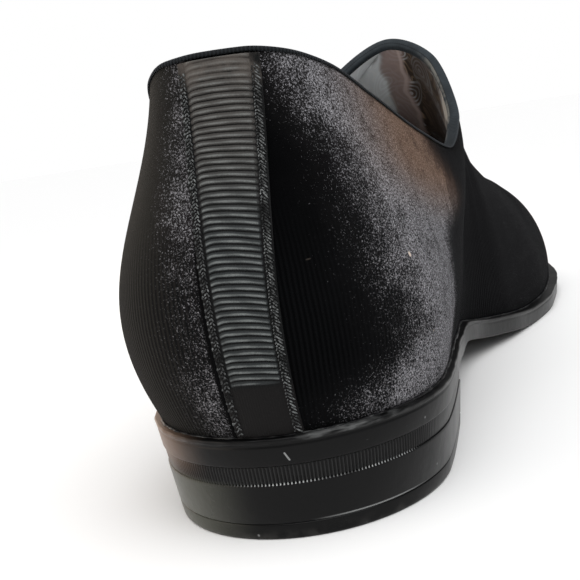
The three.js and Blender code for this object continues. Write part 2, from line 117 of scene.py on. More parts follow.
# Top of the sole: share of the length ahead of the seat, of the seat's rise, of the toe spring
soleProfile = [
    (0, 1, 0),
    (0.158, 0.76, 0),
    (0.342, 0.26, 0),
    (0.5, 0, 0),
    (0.632, 0, 0),
    (0.816, 0, 0.27),
    (1, 0, 1),
]

collar = {
    "wall": 2.2,
    "backHeight": 96.5,
    "medialDip": 69.0,
    "lateralDip": 63.0,
    "tongueHeight": 101.0,
    "tongueReach": 127.0,
    "tongueShift": 12.5,
    "backLean": 5.0,
    "width": 58.0,
    "vampEnd": 262.0,
    "toeBoxHeight": 45.0,
    "tipAngle": np.radians(91.0),
    "crowding": 1.35,
}

# The collar's edge once round: turn, then shares of its length, its width, the tongue's shift and
# of the rise from the dip to the back and to the tongue
collarRing = [
    (-0.92, 0.975, -0.26, 0.85, 0, 0.78),
    (-0.834, 0.893, -0.431, 0.6, 0, 0.25),
    (-0.745, 0.746, -0.483, 0.4, 0, 0),
    (-0.63, 0.543, -0.448, 0.2, 0.129, 0),
    (-0.474, 0.315, -0.39, 0.05, 0.434, 0),
    (-0.351, 0.156, -0.319, 0, 0.745, 0),
    (-0.234, 0.053, -0.226, 0, 0.925, 0),
    (-0.117, 0.011, -0.126, 0, 0.988, 0),
    (0, 0, 0, 0, 1, 0),
    (0.117, 0.011, 0.15, 0, 0.993, 0),
    (0.234, 0.053, 0.27, 0, 0.945, 0),
    (0.351, 0.156, 0.357, 0, 0.817, 0),
    (0.474, 0.315, 0.398, 0.05, 0.577, 0),
    (0.63, 0.543, 0.448, 0.2, 0.204, 0),
    (0.745, 0.746, 0.457, 0.4, 0, 0),
    (0.834, 0.893, 0.42, 0.6, 0, 0.228),
    (0.92, 0.975, 0.262, 0.85, 0, 0.78),
    (1, 1, 0, 1, 0, 1),
]

# The ridge of the vamp: shares of its length, of the tongue's shift and of the rise to the tongue
ridgeLine = [(0, 1, 1), (0.185, 0.72, 0.58), (0.437, 0.46, 0.3), (0.704, 0.34, 0.135), (1, 0.32, 0)]

# Foot of the wall: angle in degrees, flare and its length on the medial side, then on the lateral
wallFoot = [
    (0, 18, 0.46, 18, 0.46),
    (20, 16, 0.4, 24, 0.5),
    (40, 14, 0.4, 23, 0.49),
    (60, 10, 0.38, 19, 0.46),
    (68, 8, 0.38, 14, 0.42),
    (76, 5, 0.28, 10, 0.42),
    (91, 3, 0.24, 8, 0.43),
    (145, 10, 0.34, 10, 0.44),
    (180, 12, 0.4, 12, 0.4),
]

# Top of the wall: angle, lean inwards, its length, share of the tongue, sweep from the front
wallTop = [
    (0, 6, 0.36, 0, 0),
    (20, 10, 0.36, 0, 0),
    (40, 14, 0.36, 0, 0),
    (60, 18, 0.36, 0, 0.05),
    (68, 22, 0.34, 0.25, 0.3),
    (76, 34, 0.31, 0.8, 0.58),
    (84, 60, 0.3, 1, 0.62),
    (91, 90, 0.24, 1, 0.52),
    (103, 90, 0.26, 1, 0.38),
    (120, 90, 0.32, 1, 0.22),
    (145, 90, 0.43, 1, 0.08),
    (180, 90, 0.46, 1, 0),
]


# Cubics through the points; a slope is the weighted harmonic mean of the two beside it, 0 at a peak
def curveThrough(xs, ys, period=0.0):
    xs, ys = np.asarray(xs, float), np.asarray(ys, float)
    if period:
        xs = np.concatenate([[xs[-2] - period, xs[-1] - period], xs, [xs[0] + period]])
        ys = np.concatenate([ys[-2:], ys, ys[:1]])
    width = np.diff(xs)
    slope = np.diff(ys) / width
    same = slope[:-1] * slope[1:] > 0
    before, after = 2 * width[1:] + width[:-1], width[1:] + 2 * width[:-1]
    low, high = np.where(same, slope[:-1], 1.0), np.where(same, slope[1:], 1.0)
    middle = np.where(same, (before + after) / (before / low + after / high), 0.0)
    tangent = np.concatenate([slope[:1], middle, slope[-1:]])

    def at(x):
        x = np.clip(x, xs[0], xs[-1])
        i = np.clip(np.searchsorted(xs, x, "right") - 1, 0, len(xs) - 2)
        t = (x - xs[i]) / width[i]
        u = 1 - t
        left = (1 + 2 * t) * u * u * ys[i] + t * u * u * width[i] * tangent[i]
        return left + t * t * (3 - 2 * t) * ys[i + 1] - t * t * u * width[i] * tangent[i + 1]

    return at


def column(rows, i, scale=1.0, period=0.0):
    return curveThrough([row[0] * scale for row in rows], [row[i] for row in rows], period)


def planCurve(rows):
    return curveThrough([row[0] * last["length"] for row in rows], [last[row[1]] * row[2] for row in rows])


medialHalf, lateralHalf = planCurve(medialPlan), planCurve(lateralPlan)
seatEnd = last["heelLength"] + last["seatRunOn"]
seatUnderside = last["seatHeight"] - last["soleThickness"]
soleTop = curveThrough(
    [seatEnd + row[0] * (last["length"] - seatEnd) for row in soleProfile],
    [last["soleThickness"] + row[1] * seatUnderside + row[2] * last["toeSpring"] for row in soleProfile],
)
degrees = np.pi / 180
probe = 0.001  # small angle used to find a direction


# Distance from the heel's back: half the length times one minus the cosine of the angle
def distanceAt(angle):
    return last["length"] * (1 - np.cos(angle)) / 2


def angleAt(distance):
    return np.arccos(1 - 2 * distance / last["length"])


# 1 on the medial side and -1 on the lateral one
def sideOf(turn):
    return np.where(turn < 0, -1.0, 1.0)


# The sole's outline: the half width times two circular roundings, swung over at the toe
def planPoint(turn):
    side = sideOf(turn)
    along = distanceAt(np.abs(turn))
    heel = np.maximum(1 - along / last["heelRound"], 0)
    toe = np.maximum(1 - (last["length"] - along) / last["toeRound"], 0)
    half = np.where(side > 0, medialHalf(along), lateralHalf(along))
    ends = np.sqrt(1 - heel**2) * np.sqrt(1 - toe**2)
    return np.stack([side * half * ends + last["toeSwing"] * toe**2, along], -1)


# Square to the outline, pointing out
def planNormal(turn):
    side = sideOf(turn)
    angle = np.clip(np.abs(turn), probe, np.pi - probe)
    run = planPoint(side * (angle + probe)) - planPoint(side * (angle - probe))
    out = np.stack([run[..., 1], -run[..., 0]], -1) * side[..., None]
    out /= np.linalg.norm(out, axis=-1, keepdims=True)
    out = np.where((np.abs(turn) < probe)[..., None], [0.0, -1.0], out)
    return np.where((np.abs(turn) > np.pi - probe)[..., None], [0.0, 1.0], out)


# The outline moved inwards, at a height worked out from the distance along the shoe
def insetPoint(turn, inset, heightAt):
    point = planPoint(turn) - planNormal(turn) * np.asarray(inset)[..., None]
    return np.concatenate([point, heightAt(point[..., 1])[..., None]], -1)


def ringColumn(values):
    return curveThrough([row[0] for row in collarRing], values, 2.0)


dips = [collar["medialDip"] if row[0] > 0 else collar["lateralDip"] for row in collarRing]
collarAcross = ringColumn([row[2] * collar["width"] + row[3] * collar["tongueShift"] for row in collarRing])
collarAlong = ringColumn(
    [collar["backLean"] + row[1] * (collar["tongueReach"] - collar["backLean"]) for row in collarRing]
)
collarHeight = ringColumn(
    [dip + row[4] * (collar["backHeight"] - dip) + row[5] * (collar["tongueHeight"] - dip)
     for row, dip in zip(collarRing, dips)]
)
vampLength = collar["vampEnd"] - collar["tongueReach"]
ridgePlaces = [collar["tongueReach"] + row[0] * vampLength for row in ridgeLine]
ridgeAcross = curveThrough(ridgePlaces, [row[1] * collar["tongueShift"] for row in ridgeLine])
ridgeRise = collar["tongueHeight"] - collar["toeBoxHeight"]
ridgeHeight = curveThrough(ridgePlaces, [collar["toeBoxHeight"] + row[2] * ridgeRise for row in ridgeLine])
tip = collar["tipAngle"]


# The upper's top edge: the collar's ring up to the tongue, then the ridge, crowded to the toe
def topPoint(turn):
    ring = turn / tip
    left = np.clip((np.pi - np.abs(turn)) / (np.pi - tip), 0, 1)
    along = collar["tongueReach"] + vampLength * (1 - left ** collar["crowding"])
    edge = np.stack([collarAcross(ring), collarAlong(ring), collarHeight(ring)], -1)
    ridge = np.stack([ridgeAcross(along), along, ridgeHeight(along)], -1)
    return np.where((np.abs(turn) <= tip)[..., None], edge, ridge)


# Along the ridge, forwards and down
def ridgeRun(along):
    low = np.maximum(along - 0.5, collar["tongueReach"])
    high = np.minimum(along + 0.5, collar["vampEnd"])
    run = np.stack([0 * along, high - low, ridgeHeight(high) - ridgeHeight(low)], -1)
    return run / np.linalg.norm(run, axis=-1, keepdims=True)


leanAt, highAt, tongueAt, sweepAt = [column(wallTop, i, degrees) for i in (1, 2, 3, 4)]
flareMedial, lowMedial, flareLateral, lowLateral = [column(wallFoot, i, degrees) for i in (1, 2, 3, 4)]
marginAt = curveThrough(
    [0, last["heelLength"], last["length"] / 2, last["length"]],
    [last["seatMargin"], last["seatMargin"], last["foreMargin"], last["foreMargin"]],
)


def unit(vectors):
    return vectors / np.maximum(np.linalg.norm(vectors, axis=-1, keepdims=True), 1e-12)


# How the wall arrives at its top: inwards and up, swept back along the tongue, in the edge's plane
def arrival(turn):
    angle, side = np.abs(turn), sideOf(turn)
    normal = planNormal(turn)
    lean = leanAt(angle) * degrees
    ridge = ridgeRun(topPoint(side * np.maximum(angle, tip))[..., 1])
    inward = np.concatenate([-normal, (-normal[..., 1] * ridge[..., 2] / ridge[..., 1])[..., None]], -1)
    plain = unit(inward) * np.sin(lean)[..., None]
    plain[..., 2] += np.cos(lean)
    off = plain + (-ridge - plain) * tongueAt(angle)[..., None]
    arrive = plain + (off - plain) * sweepAt(angle)[..., None]
    ends = [side * np.minimum(angle + probe, tip), side * np.maximum(angle - probe, 0)]
    out = unit(np.cross(topPoint(ends[0]) - topPoint(ends[1]), off))
    kept = arrive - out * (arrive * out).sum(-1, keepdims=True)
    return unit(np.where((angle > tip)[..., None], arrive, kept))


# The upper's outer surface: cubics from the feather line to the top edge, at up from 0 to 1
def upperSurface(turn, up):
    turn, up = np.broadcast_arrays(np.asarray(turn, float), np.asarray(up, float))
    angle = np.abs(turn)
    medial = turn >= 0
    normal = planNormal(turn)
    foot = insetPoint(turn, marginAt(distanceAt(angle)), lambda along: soleTop(along) + last["gap"])
    top = topPoint(turn)
    chord = np.linalg.norm(top - foot, axis=-1)[..., None]
    flare = np.where(medial, flareMedial(angle), flareLateral(angle)) * degrees
    rise = np.concatenate([normal * np.sin(flare)[..., None], np.cos(flare)[..., None]], -1)
    low = foot + rise * chord * np.where(medial, lowMedial(angle), lowLateral(angle))[..., None]
    high = top - arrival(turn) * chord * highAt(angle)[..., None]
    t = up[..., None]
    point = (1 - t) ** 3 * foot + 3 * (1 - t) ** 2 * t * low + 3 * (1 - t) * t**2 * high + t**3 * top
    return point - [0, last["heelRound"], 0]


# Numbers of the quads of a grid, open or closed in either direction
def gridFaces(rows, columns, closedRows=False, closedColumns=False):
    i = np.arange(rows if closedRows else rows - 1)[:, None]
    j = np.arange(columns if closedColumns else columns - 1)[None, :]
    nextI, nextJ = (i + 1) % rows, (j + 1) % columns
    quads = [i * columns + j, i * columns + nextJ, nextI * columns + nextJ, nextI * columns + j]
    return np.stack(quads, -1).reshape(-1, 4)


# Points within a thousandth of a millimetre become one
def weld(points, faces):
    _, first, same = np.unique(np.round(points, 3), axis=0, return_index=True, return_inverse=True)
    return points[first], same.reshape(-1)[faces]


# Each point's normal is the sum of its quads' area vectors, half the cross of their diagonals
def pointNormals(points, faces):
    a, b, c, d = [points[faces[:, k]] for k in range(4)]
    area = np.cross(c - a, d - b)
    total = np.zeros_like(points)
    for k in range(4):
        np.add.at(total, faces[:, k], area)
    return unit(total)


# A sheet's faces, those of its copy turned over, and the rims that join their open edges
def shellFaces(faces, count):
    pairs = np.stack([faces, np.roll(faces, -1, 1)], -1).reshape(-1, 2)
    pairs = pairs[pairs[:, 0] != pairs[:, 1]]
    keys = pairs[:, 0] * count + pairs[:, 1]
    first, second = pairs[~np.isin(keys, pairs[:, 1] * count + pairs[:, 0])].T
    rims = np.stack([second, first, first + count, second + count], -1)
    return np.concatenate([faces, faces[:, ::-1] + count, rims])


# The length of a path up to each of its points
def lengthAlong(path):
    steps = np.linalg.norm(np.diff(path, axis=0), axis=-1)
    return np.concatenate([0 * steps[:1], np.cumsum(steps, axis=0)])


# From 0 at the start to 1 a width later, in a straight line
def fade(value, start, width):
    return np.clip((value - start) / width, 0, 1)


def eased(share):
    return share * share * (3 - 2 * share)


# Makes the mesh, in metres, with an optional UV pair for each corner and a material for each face.
# A face drops the corners that repeat, and is left out if fewer than three are left
def makePiece(name, points, faces, materials, uv=None, slots=None, sharp=None):
    distinct = np.stack([(faces[:, :k] != faces[:, k : k + 1]).all(1) for k in range(4)], -1)
    good = distinct.sum(1) > 2
    mesh = bpy.data.meshes.new(name)
    corners = [list(dict.fromkeys(face)) for face in faces[good].tolist()]
    mesh.from_pydata((points * mm).tolist(), [], corners)
    if uv is not None:
        kept = uv[good][distinct[good]].astype(np.float32)
        mesh.uv_layers.new(name="cloth").data.foreach_set("uv", kept.ravel())
    for material in materials:
        mesh.materials.append(material)
    if slots is not None:
        mesh.polygons.foreach_set("material_index", slots[good].astype(np.int32))
    mesh.shade_smooth()
    if sharp:
        mesh.set_sharp_from_angle(angle=sharp * degrees)
    piece = addObject(name, mesh)
    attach(piece, "root")
    return piece


# Sets a socket to a number, a vector or a colour, or links it
def feed(socket, value):
    if isinstance(value, bpy.types.NodeSocket):
        socket.id_data.links.new(value, socket)
    else:
        socket.default_value = (*value, 1) if socket.type == "RGBA" else value


# A node; each keyword is one of its settings, or an input with what goes in
def addNode(tree, kind, **settings):
    made = tree.nodes.new("ShaderNode" + kind)
    for key, value in settings.items():
        if hasattr(made, key):
            setattr(made, key, value)
        else:
            feed(made.inputs[key.replace("_", " ")], value)
    return made


def treeOf(values):
    return next(value.id_data for value in values if isinstance(value, bpy.types.NodeSocket))


# A Math node fed with sockets or numbers
def calculate(operation, *values, clamp=False):
    made = addNode(treeOf(values), "Math", operation=operation, use_clamp=clamp)
    for socket, value in zip(made.inputs, values):
        feed(socket, value)
    return made.outputs[0]


def times(first, *others):
    for other in others:
        first = calculate("MULTIPLY", first, other)
    return first


def most(first, *others):
    for other in others:
        first = calculate("MAXIMUM", first, other)
    return first


# The value times the gain, plus the base
def scaled(value, gain, base):
    return calculate("MULTIPLY_ADD", value, gain, base)


# Runs from 0 at low to 1 at high with soft ends
def ramp(value, low, high):
    limits = {"From Min": low, "From Max": high}
    made = addNode(value.id_data, "MapRange", interpolation_type="SMOOTHSTEP", Value=value, **limits)
    return made.outputs["Result"]


# A base plus soft ramps of one value: where each is 0, where it is 1 and what it adds
def profile(value, base, steps):
    for low, high, gain in steps:
        base = scaled(ramp(value, low, high), gain, base)
    return base


# The product of soft ramps of named values: the name, where it is 0 and where it is 1
def within(values, limits):
    return times(*[ramp(values[name], low, high) for name, low, high in limits])


# The value, moved either way by up to half the size with a field from 0 to 1
def wavered(value, field, size):
    return scaled(calculate("SUBTRACT", field, 0.5), size, value)


def vectorMath(operation, first, second):
    made = addNode(treeOf((first, second)), "VectorMath", operation=operation)
    feed(made.inputs[0], first)
    feed(made.inputs["Scale" if operation == "SCALE" else 1], second)
    return made.outputs["Value" if operation in ("DOT_PRODUCT", "DISTANCE") else "Vector"]


def mixColour(share, first, second):
    made = addNode(share.id_data, "Mix", data_type="RGBA", Factor=share)
    feed(made.inputs[6], first)
    feed(made.inputs[7], second)
    return made.outputs[2]


def noise(vector, scale, detail=2.0, roughness=0.5, distortion=0.0):
    settings = {"Scale": scale, "Detail": detail, "Roughness": roughness, "Distortion": distortion}
    return addNode(vector.id_data, "TexNoise", Vector=vector, **settings).outputs["Fac"]


# A new material with its Principled shader, whose plain sockets are set here
def startMaterial(name, **settings):
    material = bpy.data.materials.new(name)
    material.use_nodes = True
    shader = material.node_tree.nodes["Principled BSDF"]
    for key, value in settings.items():
        feed(shader.inputs[key.replace("_", " ")], value)
    return material, shader


# The object's own coordinates and its UV
def coordinates(shader):
    made = shader.id_data.nodes.new("ShaderNodeTexCoord")
    return made.outputs["Object"], made.outputs["UV"]


def splitVector(vector):
    return addNode(vector.id_data, "SeparateXYZ", Vector=vector).outputs


# Gives the shader its colour and a bump, whose distance is in metres
def dress(shader, colour, height, distance, strength=1.0):
    made = addNode(shader.id_data, "Bump", Height=height, Distance=distance, Strength=strength)
    feed(shader.inputs["Base Color"], colour)
    feed(shader.inputs["Normal"], made.outputs["Normal"])


# A group's tree, its inputs by name and its one output; an input without a number is a vector
def startGroup(name, inputs, output):
    group = bpy.data.node_groups.new(name, "ShaderNodeTree")
    for label, value in inputs.items():
        kind = "NodeSocketVector" if value is None else "NodeSocketFloat"
        socket = group.interface.new_socket(label, in_out="INPUT", socket_type=kind)
        if value is not None:
            socket.default_value = value
    group.interface.new_socket(output, in_out="OUTPUT", socket_type="NodeSocketFloat")
    return group, group.nodes.new("NodeGroupInput").outputs, group.nodes.new("NodeGroupOutput").inputs[0]


def useGroup(group, **values):
    made = addNode(treeOf(values.values()), "Group", node_tree=group)
    for key, value in values.items():
        feed(made.inputs[key], value)
    return made.outputs[0]


# A stroke from one place to another, in metres: 1 within its width, with soft edges
def stroke(place, start, end, width):
    start, end = np.array(start), np.array(end)
    length = float(np.linalg.norm(end - start))
    along = (end - start) / length
    offset = vectorMath("SUBTRACT", place, start)
    share = vectorMath("DOT_PRODUCT", offset, along)
    foot = vectorMath("SCALE", along, calculate("MINIMUM", most(share, 0.0), length))
    return ramp(vectorMath("DISTANCE", offset, foot), width, width * 0.5)


# Sparse bright specks: cells of a Voronoi pattern, kept where their own random value is low
def makeSpeckGroup():
    inputs = {"Vector": None, "Scale": 400.0, "Radius": 0.2, "Share": 0.05}
    group, given, result = startGroup("specks", inputs, "Mask")
    cells = addNode(group, "TexVoronoi", Vector=given["Vector"], Scale=given["Scale"])
    random = addNode(group, "SeparateColor", Color=cells.outputs["Color"]).outputs[0]
    kept = calculate("LESS_THAN", random, given["Share"])
    away = calculate("DIVIDE", cells.outputs["Distance"], given["Radius"])
    feed(result, times(kept, ramp(calculate("SUBTRACT", 1.0, away, clamp=True), 0.0, 0.6)))
    return group


# Threads side by side: a rounded wave across the stripe coordinate, with its pitch and a slow waver
def makeRibGroup():
    inputs = {"Stripe": 0.0, "Vector": None, "Pitch": 0.001, "Waver": 0.1}
    group, given, result = startGroup("ribs", inputs, "Height")
    count = calculate("DIVIDE", given["Stripe"], given["Pitch"])
    count = wavered(count, noise(given["Vector"], 180.0), given["Waver"])
    feed(result, scaled(calculate("SINE", times(count, 2 * np.pi)), 0.5, 0.5))
    return group


specks, ribs = makeSpeckGroup(), makeRibGroup()

# Limits are where a soft ramp is 0 and where it is 1, the way round and lengths in metres
velvet = {
    "pile": (0.001, 0.0011, 0.0013),
    "waleHighlight": (0.0036, 0.0038, 0.0042),
    # the bands' painted sheen: a lifted ground and lighter glints, each also tinted brown
    "sheenDark": (0.017, 0.016, 0.0165),
    "sheenLight": (0.56, 0.55, 0.585),
    "brownSheenDark": (0.085, 0.05, 0.034),
    "brownSheenLight": (0.38, 0.275, 0.215),
    # painted sheen on the lateral side, towards its silhouette
    "edge": (0.043, 0.04, 0.035),
    "lint": (0.6, 0.5, 0.42),
    "strays": [  # a bit of fluff and a scratch: start, end, width and strength
        ((0.0314, -0.0138, 0.0516), (0.0313, -0.014, 0.052), 0.0005, 1.0),
        ((0.016, -0.0354, 0.056), (0.0168, -0.0351, 0.0561), 0.0002, 0.04),
    ],
    "medialStart": (0.024, [(0.45, 0.08, 0.007), (0.2, 0.02, -0.018), (0.7, 1.0, -0.013)]),
    "lateralStrength": (0.67, [(0.35, 0.8, 0.15), (0.3, 0.08, 0.13)]),
    "brownPlace": [("up", 0.5, 0.82), ("round", 0.03, 0.075), ("round", 0.17, 0.11)],
    "edgeSheenPlace": [("round", -0.002, -0.026), ("round", -0.13, -0.06)],
    "drift": 0.011,
    "medialRise": (-0.019, 0.025),
    "medialEnd": (0.082, 0.05),
    "lateralRise": (-0.026, -0.004),
    "ribbonEdge": (-0.0035, -0.0045),
    "toeRise": (0.12, 0.2),
    "toeStrength": 0.4,
    "standing": (-0.29, 0.73),  # the grain that shows painted glints, by the band's strength
    "glintGain": 3.4,
    "grain": 2500.0,  # sparkles to the metre
    "fineGrain": 5750.0,
    "nap": 0.00035,
    "walePitch": 0.00095,
}


# Velvet: dark pile with painted sheen in bands where it is brushed another way, painted glints in the bands'
# grain, painted sheen on the lateral side, faint wales with painted lighter crests, and lint.
# cloth.x is the way round from the back in metres, cloth.y the height in the wall from 0 to 1
def makeVelvet():
    material, shader = startMaterial(
        "velvet", Roughness=0.9, Sheen_Weight=0.03, Sheen_Roughness=0.3, Sheen_Tint=(0.85, 0.85, 0.9),
        Specular_IOR_Level=0.02,
    )
    place, cloth = coordinates(shader)
    fromBack, up = splitVector(cloth)[:2]
    at = {"round": fromBack, "up": up}
    around = wavered(fromBack, noise(place, 60.0, 3.0, 0.6), velvet["drift"])
    # medial band of painted sheen: starts farther round from the back the lower it is, but close to it at
    # the sole
    past = calculate("SUBTRACT", around, profile(up, *velvet["medialStart"]))
    front = scaled(ramp(up, 0.45, 0.7), -0.018, past)
    medial = times(ramp(past, *velvet["medialRise"]), ramp(front, *velvet["medialEnd"]))
    # lateral band of painted sheen: close beside the ribbon
    lateral = times(ramp(around, *velvet["lateralRise"]), ramp(fromBack, *velvet["ribbonEdge"]))
    lateral = times(lateral, profile(up, *velvet["lateralStrength"]))
    toe = times(ramp(calculate("ABSOLUTE", around), *velvet["toeRise"]), velvet["toeStrength"])
    patches = ramp(noise(place, 220.0, 3.0, 0.65), 0.25, 0.75)
    strength = calculate("MULTIPLY", most(medial, lateral, toe), scaled(patches, 0.3, 0.85), clamp=True)
    coarse = noise(place, velvet["grain"], 2.0, 0.7)
    grain = scaled(noise(place, velvet["fineGrain"], 1.0, 0.6), 0.35, times(coarse, 0.65))
    # painted glints of the pile: fewer hairs stand up where the band is weak, so its edge breaks into single
    # glints
    above = calculate("SUBTRACT", grain, scaled(strength, *velvet["standing"]))
    glint = calculate("MULTIPLY", above, velvet["glintGain"], clamp=True)
    glint = times(glint, ramp(strength, 0.0, 0.3))
    brown = within(at, velvet["brownPlace"])
    # painted sheen colours of the bands, dark and light, tinted brown in the brown place
    dark = mixColour(brown, velvet["sheenDark"], velvet["brownSheenDark"])
    light = mixColour(brown, velvet["sheenLight"], velvet["brownSheenLight"])
    # the bands' strength lifts the black pile towards the painted sheen
    ground = mixColour(calculate("POWER", strength, 2.0), velvet["pile"], dark)
    # painted sheen over the lateral side
    ground = mixColour(times(within(at, velvet["edgeSheenPlace"]), 0.75), ground, velvet["edge"])
    wales = useGroup(ribs, Stripe=fromBack, Vector=place, Pitch=velvet["walePitch"], Waver=0.35)
    wales = times(wales, ramp(up, 0.7, 0.3))
    # wale crests painted lighter, a painted highlight where the black pile shows no shading from the bump
    ground = mixColour(times(wales, 0.8), ground, velvet["waleHighlight"])
    share = times(glint, scaled(brown, -0.25, 1.0), scaled(ramp(fromBack, 0.0, -0.004), -0.12, 1.0))
    lint = times(useGroup(specks, Vector=place, Scale=240.0, Radius=0.07, Share=0.02), 0.5)
    strays = [times(stroke(place, *stray[:3]), stray[3]) for stray in velvet["strays"]]
    colour = mixColour(most(lint, *strays), mixColour(share, ground, light), velvet["lint"])
    dress(shader, colour, scaled(wales, 0.3, grain), velvet["nap"], 0.9)
    return material


liningLook = {
    "ground": (0.03, 0.022, 0.016),
    "pale": (0.42, 0.45, 0.47),
    "beige": (0.3, 0.22, 0.15),
    "brown": (0.1, 0.062, 0.045),
    "rubbed": (0.15, 0.115, 0.105),
    # painted light on the tongue's inside
    "paintedLightBand": (0.92, 0.97, 1.0),
    "plainFold": (0.34, 0.265, 0.25),
    "streak": (0.6, 0.5, 0.47),
    "shade": (0.03, 0.02, 0.014),
    "strip": (0.75, 0.7, 0.62),
    "folds": [  # colour, where it starts and is full, where it stops being full and ends, across, share
        # the first band is painted light and the shade band is painted shade, on the tongue's inside
        ("paintedLightBand", -0.03, -0.02, 0.0075, 0.011, 0.8),
        ("plainFold", 0.008, 0.0105, 0.0152, 0.0168, 0.9),
        ("streak", 0.0135, 0.0143, 0.0147, 0.0157, 0.5),
        ("shade", 0.016, 0.0175, 0.024, 0.026, 0.7),
        ("strip", 0.0262, 0.0272, 0.05, 0.06, 0.8),
    ],
    "motifs": 74.0,  # to the metre
    "bend": 1.1,
    "width": (-0.36, 0.5),  # of a motif: its taper, and half its width in the middle
    "flatness": 1.7,
    "innerLines": 30.0,
    "scrolls": 46.0,
    "tongue": [("z", 0.055, 0.065), ("y", 0.06, 0.07)],
    "wander": 0.007,
}


# Printed satin: bent teardrops with lines inside them, each turned its own way, over fine scrolls
def makeLining():
    material, shader = startMaterial(
        "satin_lining", Roughness=0.42, Sheen_Weight=0.2, Sheen_Roughness=0.3, Specular_IOR_Level=0.5,
    )
    tree = shader.id_data
    place, cloth = coordinates(shader)
    size = liningLook["motifs"]
    cells = addNode(tree, "TexVoronoi", voronoi_dimensions="2D", Vector=cloth, Scale=size, Randomness=0.55)
    cells = cells.outputs
    centre = vectorMath("SCALE", cells["Position"], size)
    local = vectorMath("SUBTRACT", vectorMath("SCALE", cloth, size), centre)
    angle = times(addNode(tree, "SeparateColor", Color=cells["Color"]).outputs[0], 2 * np.pi)
    turned = addNode(tree, "VectorRotate", rotation_type="Z_AXIS", Vector=local, Angle=angle)
    x, y = splitVector(turned.outputs[0])[:2]
    squared = times(y, y)
    bent = calculate("SUBTRACT", x, times(squared, liningLook["bend"]))
    across = calculate("DIVIDE", bent, most(scaled(y, *liningLook["width"]), 0.06))
    reach = calculate("SQRT", scaled(squared, liningLook["flatness"], times(across, across)))
    inside = ramp(reach, 0.78, 0.72)
    outline = times(inside, ramp(reach, 0.6, 0.66))
    lines = ramp(calculate("SINE", times(reach, liningLook["innerLines"])), 0.2, 0.5)
    scroll = times(noise(cloth, 95.0, 0.0, 0.4, 1.1), liningLook["scrolls"])
    scroll = ramp(calculate("SINE", scroll), 0.1, 0.7)
    ground = mixColour(scroll, liningLook["ground"], liningLook["beige"])
    fill = mixColour(lines, liningLook["brown"], liningLook["pale"])
    colour = mixColour(outline, mixColour(inside, ground, fill), liningLook["pale"])
    worn = ramp(noise(cloth, 38.0, 3.0), 0.42, 0.6)
    colour = mixColour(times(worn, 0.6), colour, liningLook["rubbed"])
    # inside the tongue: a pale band of painted light on the lateral side, a plain fold beside it, then
    # painted shade over the print
    at = dict(zip("xyz", splitVector(place)))
    tongue = within(at, liningLook["tongue"])
    across = wavered(at["x"], noise(cloth, 90.0, 1.0), liningLook["wander"])
    for name, low, full, ends, end, share in liningLook["folds"]:
        fold = times(ramp(across, low, full), ramp(across, end, ends), tongue, share)
        colour = mixColour(fold, colour, liningLook[name])
    satin = noise(vectorMath("MULTIPLY", cloth, (0.15, 1, 0)), 4000.0, 1.0)
    dress(shader, colour, scaled(satin, 0.1, noise(cloth, 120.0, 2.0)), 0.0006, 0.7)
    return material


tape = {
    "binding": (0.0035, 0.004, 0.0048),
    # the tape's painted light on the tongue
    "bindingLit": (0.04, 0.049, 0.056),
    "rolled": (0.26, 0.25, 0.225),
    # ribbon: black, the painted shadow in the ribbon's gaps; also the dark of the thread
    "ribbon": (0.0022, 0.0024, 0.0026),
    "ribbonWeb": (0.022, 0.025, 0.026),
    "ribbonCrestHighlight": (0.17, 0.182, 0.18),
    "worn": (0.1, 0.086, 0.076),
    "thread": (0.2, 0.21, 0.21),
    "foot": (0.004, 0.0035, 0.0036),
}


# Binding tape: fine cross ribs with painted highlights on their crests; near black round the back and
# painted lighter on the tongue, painted light on one tape. cloth.x runs along the tape in metres, cloth.y is
# the tongue's share from 0 to 1, with 2 more on the side of the lining
def makeBindingCloth():
    material, shader = startMaterial(
        "binding_cloth", Roughness=0.8, Sheen_Weight=0.06, Sheen_Roughness=0.4, Sheen_Tint=(0.8, 0.88, 1),
        Specular_IOR_Level=0.12,
    )
    place, cloth = coordinates(shader)
    along, front = splitVector(cloth)[:2]
    rolled = ramp(front, 1.2, 1.8)
    front = scaled(rolled, -2.0, front)
    ribHeight = useGroup(ribs, Stripe=along, Vector=place, Pitch=0.00075, Waver=0.3)
    ribHeight = times(ribHeight, scaled(front, -0.75, 1.0))
    worn = ramp(noise(place, 260.0, 3.0), 0.35, 0.7)
    # the tongue's share lifts the tape to its painted light; the crests add a painted highlight
    share = scaled(ribHeight, 0.2, times(front, scaled(worn, 0.4, 0.6), 0.8))
    colour = mixColour(share, tape["binding"], tape["bindingLit"])
    patchy = times(ramp(splitVector(place)[0], 0.02, 0.027), ramp(noise(place, 320.0, 2.0), 0.3, 0.6))
    colour = mixColour(times(rolled, front, patchy, 0.6), colour, tape["rolled"])
    dress(shader, colour, scaled(noise(place, 3000.0, 1.0), 0.3, ribHeight), 0.00014)
    return material


